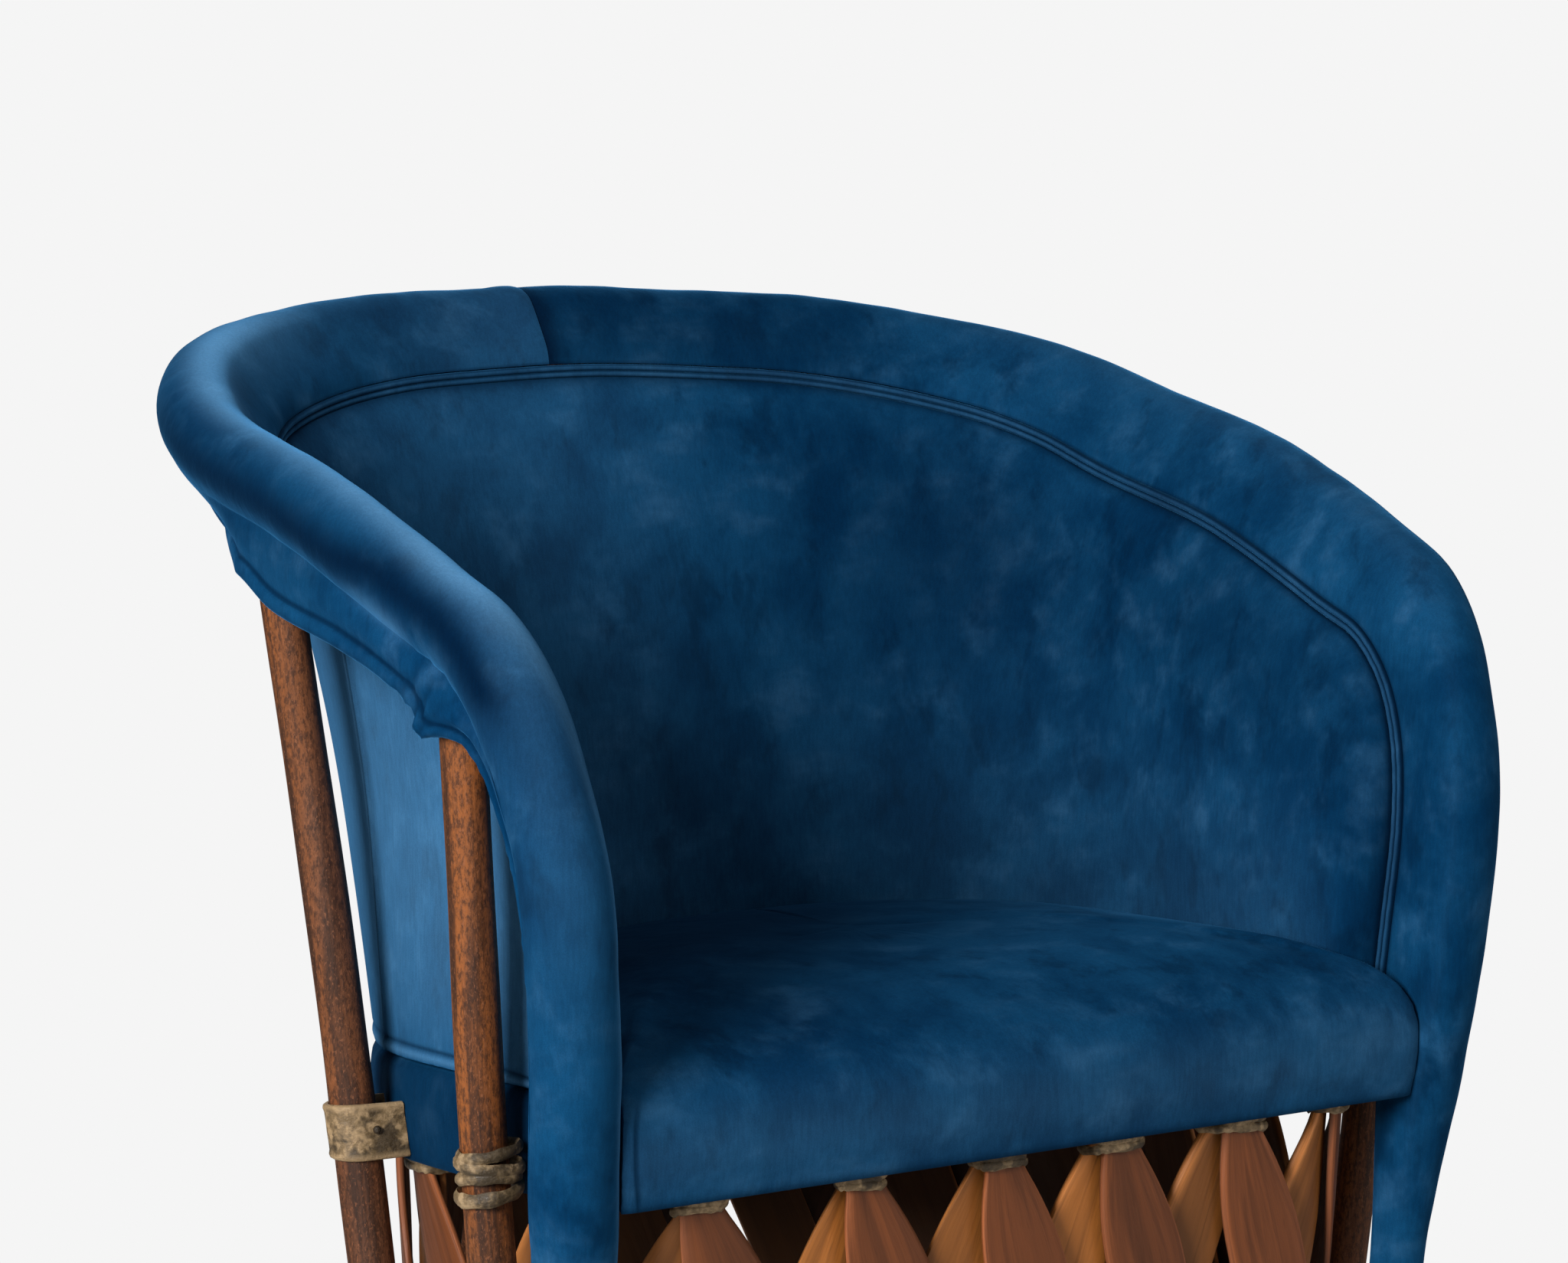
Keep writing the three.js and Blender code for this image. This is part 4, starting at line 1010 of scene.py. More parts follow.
def sleeve_points(rim, way, grow=0.0):
    """The velvet's surface at each way, with soft lumps and the folds that the bend of the arm gathers."""
    outline, inner = sleeve_outline(rim, way)
    skin = through(outline, SKIN_STEPS)
    tangent = unit(np.gradient(skin, axis=-2))
    normal = np.stack([tangent[..., 1], -tangent[..., 0]], axis=-1)
    point, inward, down = rim.frame(way)
    rough = point[:, None] + inward[:, None] * skin[..., :1] + down[:, None] * skin[..., 1:]
    swell = rim.sizes.lumps * (lumps(rough, 16, 3.1) + 0.5 * lumps(rough, 42, 7.7)) + grow
    steps = np.arange(SKIN_STEPS)
    edge = np.minimum(steps, steps[::-1]) / 5
    skin = skin + normal * (swell * np.clip(edge, 0.15, 1))[..., None]
    frayed = smoothstep(np.abs(way), 0.47, 0.5) * falling(np.abs(way), 0.66, 0.7)
    frayed = frayed[:, None] * np.clip(1 - steps / 9, 0, 1) * lumps(rough, 240, 1.7)
    skin[..., 1] += 2.4 * MM * frayed
    drawn, folds = gathers(rim, way, SKIN_STEPS, 0.016)
    skin = skin + normal * (1.5 * MM * drawn * folds)[..., None]
    section = np.concatenate([skin, inner, skin[:, :1]], axis=-2)
    return point[:, None] + inward[:, None] * section[..., :1] + down[:, None] * section[..., 1:]


def sleeve_paint(rim, way, columns):
    """Where painted shade darkens the sleeve and where painted highlights lighten it.

    place counts control points across the section: the hem is at 0 to 3, the valley under the roll at
    about 9, the roll's crest at about 15 and the piping at 19. away is 0 behind, about 0.45 where the arm
    bends down to its post, and 1 at the foot."""
    away = np.abs(way)[:, None]
    steps = np.minimum(np.arange(columns), SKIN_STEPS)
    place = (steps * (SKIN_CONTROLS - 1) / (SKIN_STEPS - 1))[None, :]
    wide = smoothstep(rim.skirt(way), NARROW_SKIRT, FULL_SKIRT)[:, None]
    turned = smoothstep(away, 0.41, 0.45)
    left = (way <= rim.seam + 1e-6)[:, None]

    # Painted shade: at the hem's stitch line and lower edge, which are also seams, in the valley under the
    # roll, at the piping's edge, towards the back, beside the posts, over the skirt's face and in its
    # gathered folds
    hem = 0.9 * peak(place, 2.9, 0.35) + 0.8 * peak(place, 0, 0.8)
    valley = peak(place, mix(8.8, 10, turned), mix(2.3, 1.7, turned))
    behind = 0.36 * falling(away, 0.1, 0.2) + 0.14 * falling(away, 0.3, 0.4)
    behind = np.where(left, 0.3 * peak(away, 0.11, 0.06), behind) * peak(place, 17, 3.5)
    beside_post = 0.25 * peak(away, 0.61, 0.05) * peak(place, 10, 3.5)
    face = 0.45 * peak(place, 5.5, 2.2) * falling(away, 0.4, 0.43) * wide
    drawn, folds = gathers(rim, way, columns, 0.02)
    gathered = 0.75 * drawn * smoothstep(-folds, 0, 0.9)
    crease = hem * (0.35 + 0.65 * wide) + valley * wide + 0.7 * smoothstep(place, 18.6, 19)
    for mark in (behind, beside_post, face, gathered):
        crease = np.maximum(crease, mark)

    # Painted highlights: along the skirt's fold, along the roll's crest, strong on the left arm that faces
    # the lamps and faint on the right, and on the left arm's shoulder, elbow and knuckle
    skirt = 0.34 * peak(place, 7.2, 1.1) * turned * falling(away, 0.455, 0.475)
    down_post = smoothstep(away, 0.44, 0.6)
    crest = peak(place, mix(14.2, 15.6, down_post), mix(1.6, 0.4, down_post))
    arm = smoothstep(away, 0.13, 0.22) * (1 - 0.72 * smoothstep(away, 0.47, 0.53)) * falling(away, 0.7, 0.8)
    shoulder = 0.3 * peak(place, 12, 3.5) * peak(away, 0.17, 0.05)
    elbow = 0.35 * peak(place, 13, 1.6) * peak(away, 0.475, 0.03)
    knuckle = 0.08 * peak(place, 11.5, 3.5) * smoothstep(away, 0.48, 0.52) * falling(away, 0.58, 0.66)
    brushed = skirt + crest * arm * np.where(left, 0.9, 0.05) + (shoulder + elbow + knuckle) * left
    return np.clip(crease, 0, 1), np.clip(brushed, 0, 1)


class CHAIR_OT_rim(bpy.types.Operator):
    """Velvet sleeves with their skirt, and the double piping"""
    bl_idname = "chair.rim"
    bl_label = "Rim velvet"

    def execute(self, context):
        rim = Rim(context)
        velvet = finish_for(context, "velvet")
        left = self.sleeve(rim, "rim_velvet_left", -1.0, rim.seam, lip=True)
        right = self.sleeve(rim, "rim_velvet_right", rim.seam - 6 * MM / rim.half, 1.0, lip=False)
        finished(left, velvet, "velvet", ["rim_sleeve_left"])
        finished(right, velvet, "velvet", ["rim_sleeve_right"])
        self.piping(rim, velvet)
        return {"FINISHED"}

    def sleeve(self, rim, name, start, end, lip):
        """One sleeve, which lies over the other and ends in a lip, or is drawn in under it."""
        way = np.linspace(start, end, int(round((end - start) * rim.half / (5 * MM))))
        from_seam = (way - rim.seam) * rim.half
        under = (from_seam > -8 * MM) * falling(from_seam, 14 * MM, 26 * MM)
        points = sleeve_points(rim, way, grow=0.0 if lip else -1.5 * MM * under[:, None])
        crease, brushed = sleeve_paint(rim, way, points.shape[1])
        if lip:
            points = self.overlap(rim, points, way)
            added = ((0, len(points) - len(way)), (0, 0))
            crease = np.pad(crease, added, mode="edge")
            # Painted light over the overlapping sleeve's last stretch before the seam
            brushed = np.pad(brushed + 0.08 * smoothstep(from_seam, -0.16, 0)[:, None], added, mode="edge")
        else:
            # Painted shadow where the other sleeve's lip overhangs this one, beside the seam
            crease = np.clip(crease + 0.6 * peak(from_seam, 22 * MM, 10 * MM)[:, None], 0, 1)
        return woven(name, points, caps=True, crease=crease, brushed=brushed)

    def overlap(self, rim, points, way):
        """The last rows lie over the other sleeve and end in a curved, folded edge."""
        columns = points.shape[1]
        across = np.clip(np.arange(columns) / 60, 0, 1)
        reach = 15 * MM * np.sin(across * math.pi / 2) / rim.half
        lifts = np.array([0.3, 0.7, 1.0, 1.1, 1.0, 0.3]) * MM
        extra = np.empty((len(lifts), columns, 3))
        for index, lift in enumerate(lifts):
            ways = way[-1] + reach * ((index + 1) / len(lifts)) + (index + 1) * 1.2 * MM / rim.half
            for column in range(columns):
                extra[index, column] = sleeve_points(rim, ways[column:column + 1], grow=lift)[0, column]
        return np.concatenate([points, extra], axis=0)

    def piping(self, rim, velvet):
        """Two cords side by side on one tape, from seat to seat."""
        way = np.linspace(-WELT_END, WELT_END, 900)
        point, across, down = rim.frame(way)
        inward, below = rim.piping(way)
        place = np.linspace(-1, 1, 25)
        hump = np.sqrt(np.clip(1 - (2 * np.abs(place) - 1) ** 2, 0, 1))
        proud = 2.1 * MM * hump[None, :] * (1 + 0.05 * np.sin(np.arange(len(way)) * 0.9))[:, None] - 0.4 * MM
        tape = np.full((len(way), 1), -2.4 * MM)
        out = inward[:, None] + np.concatenate([tape, proud, tape, tape], axis=1)
        reach = rim.sizes.piping_radius + 0.2 * MM
        drop = below[:, None] + reach * np.concatenate([[-1], place, [1, -1]])[None, :]
        points = point[:, None] + across[:, None] * out[..., None] + down[:, None] * drop[..., None]
        # Painted shade on the tape and in the grooves beside and between the cords, a little over the cords,
        # and a painted highlight along their tops
        groove = peak(np.abs(place), 1, 0.22) + peak(place, 0, 0.2)
        crease = np.concatenate([[1], 0.25 + 0.7 * groove, [1, 1]])[None, :]
        light = np.concatenate([[0], 0.12 * hump, [0, 0]])[None, :]
        welt = woven("back_welt", points, caps=True, crease=crease, brushed=light)
        finished(welt, velvet, "velvet", ["back_piping"])


# Back


class BackShape:
    """Places on the back between the seat's ledge and the piping."""

    def __init__(self, context):
        self.rim = Rim(context)
        self.seat = seat_plan(context)
        self.sizes = context.scene.chair_back
        seat = context.scene.chair_seat
        self.level = seat.level + seat.side_height + 2 * MM

    def at(self, way, rise, inset_below, inset_above):
        """Places at a way and a share of the height, each inside the outer face by its two insets."""
        way, rise = np.broadcast_arrays(np.asarray(way, float), np.asarray(rise, float))
        inward, below = self.rim.piping(way)
        point, across, down = self.rim.frame(way)
        edge = below + self.rim.sizes.piping_radius + GAP
        inset_above = np.asarray(inset_above) + inward - self.sizes.top_outset
        top = point + across * inset_above[..., None] + down * edge[..., None]
        part = -np.sign(way) * np.interp(np.abs(way), PANEL_WAY_SHARES, PANEL_SEAT_SHARES)
        inset = np.broadcast_to(np.asarray(inset_below, float), part.shape)[..., None]
        far = 30 * MM
        low = raised(mix(self.seat.at(0.0, part), self.seat.at(far, part), inset / far), self.level)
        bow = self.sizes.bow * np.sin(math.pi * rise)
        return mix(low, top, rise[..., None]) + unit(across * (1, 1, 0)) * bow[..., None]


class CHAIR_OT_back(bpy.types.Operator):
    """Padded velvet lining of the back, and the velvet panel outside it"""
    bl_idname = "chair.back"
    bl_label = "Back"

    def execute(self, context):
        back = BackShape(context)
        pad = self.pad(back)
        finished(pad, finish_for(context, "inner_velvet"), "inner_velvet", ["back_pad_inner"])
        panel = self.panel(back)
        finished(panel, finish_for(context, "velvet"), "velvet", ["back_panel_outer"])
        return {"FINISHED"}

    def pad(self, back):
        sizes = back.sizes
        way = np.linspace(-WELT_END, WELT_END, 320)
        outer = sizes.panel_thickness + sizes.pad_clearance
        rises = 0.5 - 0.5 * np.cos(np.linspace(0, math.pi, 64))
        from_top = (1 - rises) * sizes.height
        from_foot = rises * sizes.height
        from_end = (WELT_END - np.abs(way)) * back.rim.half
        near_top, near_foot = 1 - fading(from_top, 9 * MM), 1 - fading(from_foot, 3 * MM)
        near_end = 1 - fading(from_end, 10 * MM)
        full = ((0.3 + 0.7 * near_top) * (0.6 + 0.4 * near_foot))[None, :] * (0.35 + 0.65 * near_end)[:, None]
        slack = 120 * MM
        wide = np.clip(np.minimum(from_top, from_foot) / slack, 0, 1)
        puff = sizes.puff * np.sin(wide * math.pi / 2)[None, :] * np.clip(from_end / slack, 0, 1)[:, None]
        thick = mix(sizes.pad_foot, sizes.pad_edge, rises)[None, :] * full + puff
        way_grid, rise_grid = np.meshgrid(way, rises, indexing="ij")
        front = back.at(way_grid, rise_grid, outer + thick, outer + thick)
        rear = back.at(way_grid, rise_grid, outer, outer)
        gather = fading(from_top, 14 * MM)[None, :] * np.sin(way * back.rim.half / (2.1 * MM))[:, None]
        soft = (0.8 * lumps(front, 9, 2.2) + 0.35 * lumps(front, 30, 5.5) + 0.2 * gather) * MM
        soft *= (near_top * near_foot)[None, :]
        front = front + unit(front - rear) * soft[..., None]
        section = np.concatenate([front, rear[:, ::-4], front[:, :1]], axis=1)
        unseen = ((0, 0), (0, section.shape[1] - front.shape[1]))
        crease, brushed = self.pad_paint(way[:, None], rises[None, :], from_top[None, :])
        # The pad's hidden rear side, against the panel, is painted fully dark with painted shade
        crease, brushed = np.pad(crease, unseen, constant_values=1), np.pad(brushed, unseen)
        return woven("back_pad", section, caps=True, crease=crease, brushed=brushed)

    def pad_paint(self, way, rises, from_top):
        """Painted shade under the piping, in a patch on the right and up the right side, and a little painted
        light at the foot and on the left.
        """
        shaded_patch = 0.7 * peak(way, 0.2, 0.13) * peak(rises, 0.75, 0.28)
        aside = 0.32 * smoothstep(way, 0.3, 0.42) * smoothstep(rises, 0.5, 0.8)
        crease = np.maximum(shaded_patch + aside, 0.75 * fading(from_top, 5 * MM))
        return crease, 0.08 * peak(rises, 0, 0.4) + 0.06 * smoothstep(-way, -0.08, 0.05)

    def panel(self, back):
        sizes = back.sizes
        seam_grid = np.linspace(-8, 8, 33) * MM / back.rim.half
        way = np.sort(np.concatenate([
            np.linspace(-WELT_END, WELT_END, 260),
            sizes.seam_share + seam_grid,
            -sizes.seam_share + seam_grid]))
        from_foot = np.concatenate([np.linspace(0, 14, 15) * MM, np.linspace(24 * MM, sizes.height, 40)])
        rises = from_foot / sizes.height
        way_grid, rise_grid = np.meshgrid(way, rises, indexing="ij")
        outer = back.at(way_grid, rise_grid, 0.0, 0.0)
        inner = back.at(way_grid, rise_grid, sizes.panel_thickness, sizes.panel_thickness)
        seam = (np.abs(way) - sizes.seam_share) * back.rim.half / MM
        foot = from_foot / MM
        ridge = 1.3 * peak(seam, 2.4, 1.5) - 1.3 * peak(seam, 0, 1.1) + 0.9 * peak(seam, -2.4, 1.5)
        hem = 0.7 * peak(foot, 4, 2.6) - 0.7 * peak(foot, 9, 1.3)
        loose = np.clip(rises * 12, 0, 1) * np.clip((1 - rises) * 12, 0, 1)
        soft = 0.9 * lumps(outer, 11, 8.4) * loose[None, :]
        outer = outer + unit(outer - inner) * ((ridge[:, None] + hem[None, :] + soft) * MM)[..., None]
        section = np.concatenate([outer, inner[:, ::-3], outer[:, :1]], axis=1)
        paints = self.panel_paint(seam[:, None], foot[None, :], rises[None, :])
        unseen = ((0, 0), (0, section.shape[1] - outer.shape[1]))
        crease, brushed = (np.clip(np.pad(paint, unseen, mode="edge"), 0, 1) for paint in paints)
        return woven("back_panel", section, caps=True, crease=crease, brushed=brushed)

    def panel_paint(self, seam, foot, rises):
        """Stitch lines darkened with painted shade, painted shadow under the skirt, and painted light beside
        the seams, over the hem and half way up.
        """
        under_skirt = 0.5 * smoothstep(rises, 0.86, 0.98)
        crease = 0.85 * peak(seam, 0, 1.6) + (0.7 * peak(foot, 9.5, 1.8) + under_skirt)
        brushed = 0.4 * peak(seam, -4, 2) + 0.3 * peak(foot, 4, 3)
        return crease, brushed + 0.3 * np.sin(math.pi * np.clip(rises * 1.05, 0, 1)) ** 0.5


# Seat


def post_room(rim, points):
    """Moves points out of the room that a post and its piping take, towards the middle of the seat."""
    grid = np.linspace(0.5, 0.82, 400)
    points = points.copy()
    for side in (-1, 1):
        centre, inward, down = rim.frame(side * grid)
        order = np.argsort(centre[:, 2])
        levels = centre[order, 2]

        def level_with(values):
            return np.interp(points[:, 2], levels, values[order])

        base = np.stack([level_with(centre[:, axis]) for axis in (0, 1)], axis=1)
        across = unit(np.stack([level_with(inward[:, axis]) for axis in (0, 1)], axis=1))
        behind = unit(np.stack([level_with(down[:, axis]) for axis in (0, 1)], axis=1))
        reach = rim.radius(level_with(grid)) + 1.2 * MM
        offset = points[:, :2] - base
        inner = np.sum(offset * across, axis=1)
        back = np.sum(offset * behind, axis=1)
        edge = np.where(back > 0, reach, np.sqrt(np.clip(reach ** 2 - back ** 2, 0, None)))
        room = rim.sizes.piping_below + rim.sizes.piping_radius
        fade = falling(back, room - 4 * MM, room + 8 * MM)
        near = (back > -reach) & (inner > -1.6 * reach)
        points[:, :2] += across * (np.clip(edge - inner, 0, None) * fade * near)[:, None]
    return points


CLOTH_FRAMES = 20
LAST_COVER_STOP = len(COVER_SIDE_INSET_SHARES) - 1
FRONT_SHARE = 0.16


def swelled(piece, held, pressure, most):
    """Blown up a little as cloth, with its held part fixed and no point moved further than the most."""
    start = vertices(piece)
    group = piece.vertex_groups.new(name="held")
    for index in np.flatnonzero(held > 0.01):
        group.add([int(index)], float(held[index]), "REPLACE")
    alone(piece)
    modifier = piece.modifiers.new("Cloth", "CLOTH")
    modifier.settings.quality = 5
    modifier.settings.use_pressure = True
    modifier.settings.uniform_pressure_force = pressure
    modifier.settings.vertex_group_mass = group.name
    modifier.settings.effector_weights.gravity = 0
    modifier.point_cache.frame_end = CLOTH_FRAMES
    for step in range(1, CLOTH_FRAMES + 1):
        bpy.context.scene.frame_set(step)
    bpy.ops.object.modifier_apply(modifier=modifier.name)
    bpy.context.scene.frame_set(1)
    piece.vertex_groups.clear()
    moved = vertices(piece) - start
    far = np.linalg.norm(moved, axis=1, keepdims=True)
    kept = start + moved * np.minimum(1, most / np.maximum(far, 1e-9))
    piece.data.vertices.foreach_set("co", kept.ravel())
    piece.data.update()


class CHAIR_OT_seat(bpy.types.Operator):
    """Crowned cushion with a deep front apron, drawn in beside the posts"""
    bl_idname = "chair.seat"
    bl_label = "Seat cushion"

    def execute(self, context):
        cushion = self.cut(context)
        self.swell(context, cushion)
        finished(cushion, finish_for(context, "shaded_seat_velvet"), "velvet", ["seat_cover", "seat_foam"])
        return {"FINISHED"}

    def cut(self, context):
        """Apron, sides and crown in one surface, closed by its underside."""
        seat, plan, rim = context.scene.chair_seat, seat_plan(context), Rim(context)
        part = self.stations(plan)
        outline = plan.at(0.0, part)
        centre_y = seat.centre_y + SHIFT_Y
        reach = (centre_y - outline[:, 1]) / (seat.centre_y - seat.front_y)
        front = smoothstep(reach, 0.88, 1.0)[:, None]
        place = np.linspace(0, LAST_COVER_STOP, 65)
        inset = mix(
            self.eased(COVER_SIDE_INSET_SHARES, place), self.eased(COVER_FRONT_INSET_SHARES, place), front)
        rise = mix(
            self.eased(COVER_SIDE_RISE_SHARES, place), self.eased(COVER_FRONT_RISE_SHARES, place), front)
        side_bulge = np.sin(np.clip(place / 2.1, 0, 1) * math.pi)[None, :] * (1 - front) * seat.side_bulge
        inset, rise = inset * seat.ledge - side_bulge, rise * seat.crown_height
        rows = [raised(self.inset_at(plan, inset[:, column], part), seat.level + rise[:, column])
                for column in range(place.size)]
        centre = np.array((0, centre_y, 0))
        last, top = rows[-1], seat.level + seat.crown_height
        for step in np.linspace(0.06, 1, 18):
            flat = mix(last, centre, step)
            rows.append(np.concatenate([flat[:, :2], mix(last[:, 2:], top, 1 - (1 - step) ** 2)], axis=1))
        rows = np.stack(rows)
        for _ in range(14):
            below, level, above = rows[50:-2, :, 2], rows[51:-1, :, 2], rows[52:, :, 2]
            rows[51:-1, :, 2] = (below + 2 * level + above) / 4
        rows = post_room(rim, rows.reshape(-1, 3)).reshape(rows.shape)
        turned_in = (
            (1.4 * MM, -0.8 * MM), (seat.wall, 0.6 * MM), (seat.wall, 12 * MM), (seat.wall, seat.floor))
        under = np.stack([
            raised(self.inset_at(plan, np.full(len(part), inward), part), seat.level + level)
            for inward, level in turned_in])
        under = post_room(rim, under.reshape(-1, 3)).reshape(under.shape)
        middle = centre + (0, 0, seat.level + seat.floor)
        ceiling = np.stack([mix(under[-1], middle, step) for step in (1.0, 0.75, 0.5, 0.25)])
        points = np.concatenate([ceiling, under[::-1], rows], axis=0)
        points = np.concatenate([points, points[:, :1]], axis=1)
        crease, brushed = self.paint(seat, plan.line().length, np.append(part, 1.0), points)
        return woven("seat_cushion", points, crease=crease, brushed=brushed)

    def paint(self, seat, length, part, points):
        """Dark at the corner stitches, partly painted shade, and painted shade at the hem, the sides and
        where the back and the left arm shade the top, with painted light on the apron.
        """
        level = (points[..., 2] - seat.level) / seat.crown_height
        off_front = np.abs(part - 0.5)[None, :]
        stitched = np.zeros_like(level)
        for corner, away in zip(CORNER_SEAT_SHARES, (14.5 * MM, -2 * MM)):
            stitch = peak((part - corner) * length, away, 1.3 * MM)[None, :]
            stitched = np.maximum(stitched, stitch * falling(level, 0.42, 0.6))
        side = (off_front > FRONT_SHARE) * falling(level, 0.5, 0.53)
        # Painted shadow on the top, growing towards the back and the left, where the back and the left arm
        # shade it
        behind = smoothstep(points[..., 1], seat.front_y + 30 * MM, seat.front_y + 260 * MM)
        aside = smoothstep(-points[..., 0], -120 * MM, 190 * MM)
        shaded = np.clip(0.6 * behind + 0.6 * behind * aside + 0.3 * aside, 0, 0.95)
        on_top = smoothstep(level, 0.5, 0.75) * shaded
        marks = np.stack([0.85 * stitched, 0.5 * peak(level, 0, 0.03), 0.65 * side, on_top])
        crease = np.clip(marks.max(axis=0), 0, 1)
        return crease, 0.1 * peak(level, 0.25, 0.25) * (off_front < FRONT_SHARE)

    def stations(self, plan):
        """Shares of the way round at which points stand, closer together at the front corners."""
        length = plan.line().length
        corners = [place + np.arange(-14, 15) * 1.4 * MM / length for place in CORNER_SEAT_SHARES]
        part = np.sort(np.concatenate([np.arange(0, 1, 4 * MM / length), *corners]))
        return part[np.concatenate([[True], np.diff(part) > 0.4 * MM / length])]

    def eased(self, shares, place):
        """Shares at each place between their stops, rounded a little at every stop."""
        reach = 0.3
        around = np.linspace(-reach, reach, 13)[:, None]
        stops = np.clip(place[None, :] + around * np.clip(place / reach, 0, 1), 0, LAST_COVER_STOP)
        return np.interp(stops, np.arange(LAST_COVER_STOP + 1), shares).mean(axis=0)[None, :]

    def inset_at(self, plan, inset, part):
        """Points on the outline, each moved in by its own inset."""
        step = 7 * MM
        low = np.floor(inset / step).astype(int)
        found = np.empty((len(part), 2))
        for level in np.unique(low):
            chosen = low == level
            first, second = plan.at(level * step, part[chosen]), plan.at((level + 1) * step, part[chosen])
            found[chosen] = mix(first, second, (inset[chosen] / step - level)[:, None])
        return found

    def swell(self, context, cushion):
        """The crown is blown up as cloth. Hem, sides and underside are held."""
        seat, rim = context.scene.chair_seat, Rim(context)
        spots = vertices(cushion)
        low, high = (seat.level + share_up * seat.crown_height for share_up in (0.62, 0.84))
        crown = smoothstep(spots[:, 2], low, high)
        posts = np.zeros(len(spots))
        for side in (-1, 1):
            post = rim.frame(np.array([side * 0.64]))[0][0]
            away = np.linalg.norm(spots[:, :2] - post[:2], axis=1)
            posts = np.maximum(posts, falling(away, 34 * MM, 70 * MM))
        swelled(cushion, np.maximum(1 - crown, posts), seat.pressure, seat.swell)


# Drum


class DrumShape:
    """Places on the drum of slats, by share round it, level and depth inwards."""

    def __init__(self, context):
        self.sizes = context.scene.chair_drum
        self.top = drum_plan(context)
        self.base = base_plan(context)
        self.foot_inset = self.sizes.wrap_thickness + 1.5 * MM
        self.length = self.top.line().length
        self.pair = 2 * self.sizes.slat_thickness + self.sizes.slat_clearance

    def outline(self, plan, inset, part):
        """Points inside the outline, found between nine outlines that are 5 mm apart."""
        part, inset = np.broadcast_arrays(np.asarray(part, float), np.asarray(inset, float))
        levels = np.arange(-6, 39, 5) * MM
        table = np.stack([plan.at(level, part) for level in levels])
        place = (inset - levels[0]) / (levels[1] - levels[0])
        index = np.clip(place.astype(int), 0, len(levels) - 2)
        chosen = np.broadcast_to(index[None, ..., None], (1, *index.shape, 2))
        first = np.take_along_axis(table, chosen, axis=0)[0]
        second = np.take_along_axis(table, chosen + 1, axis=0)[0]
        return mix(first, second, (place - index)[..., None])

    def at(self, part, level, depth):
        part, level, depth = np.broadcast_arrays(*(np.asarray(item, float) for item in (part, level, depth)))
        rise = (level - self.sizes.slat_foot) / (self.sizes.slat_top - self.sizes.slat_foot)
        top = self.outline(self.top, depth, part)
        foot = self.outline(self.base, depth + self.foot_inset, part)
        return raised(mix(foot, top, rise[..., None]), level)


def tie_share(index):
    lap = index // len(TIE_SHARES)
    return TIE_SHARES[index - lap * len(TIE_SHARES)] + lap


def foot_tie_share(index):
    return (tie_share(index + 1) + tie_share(index + 2)) / 2


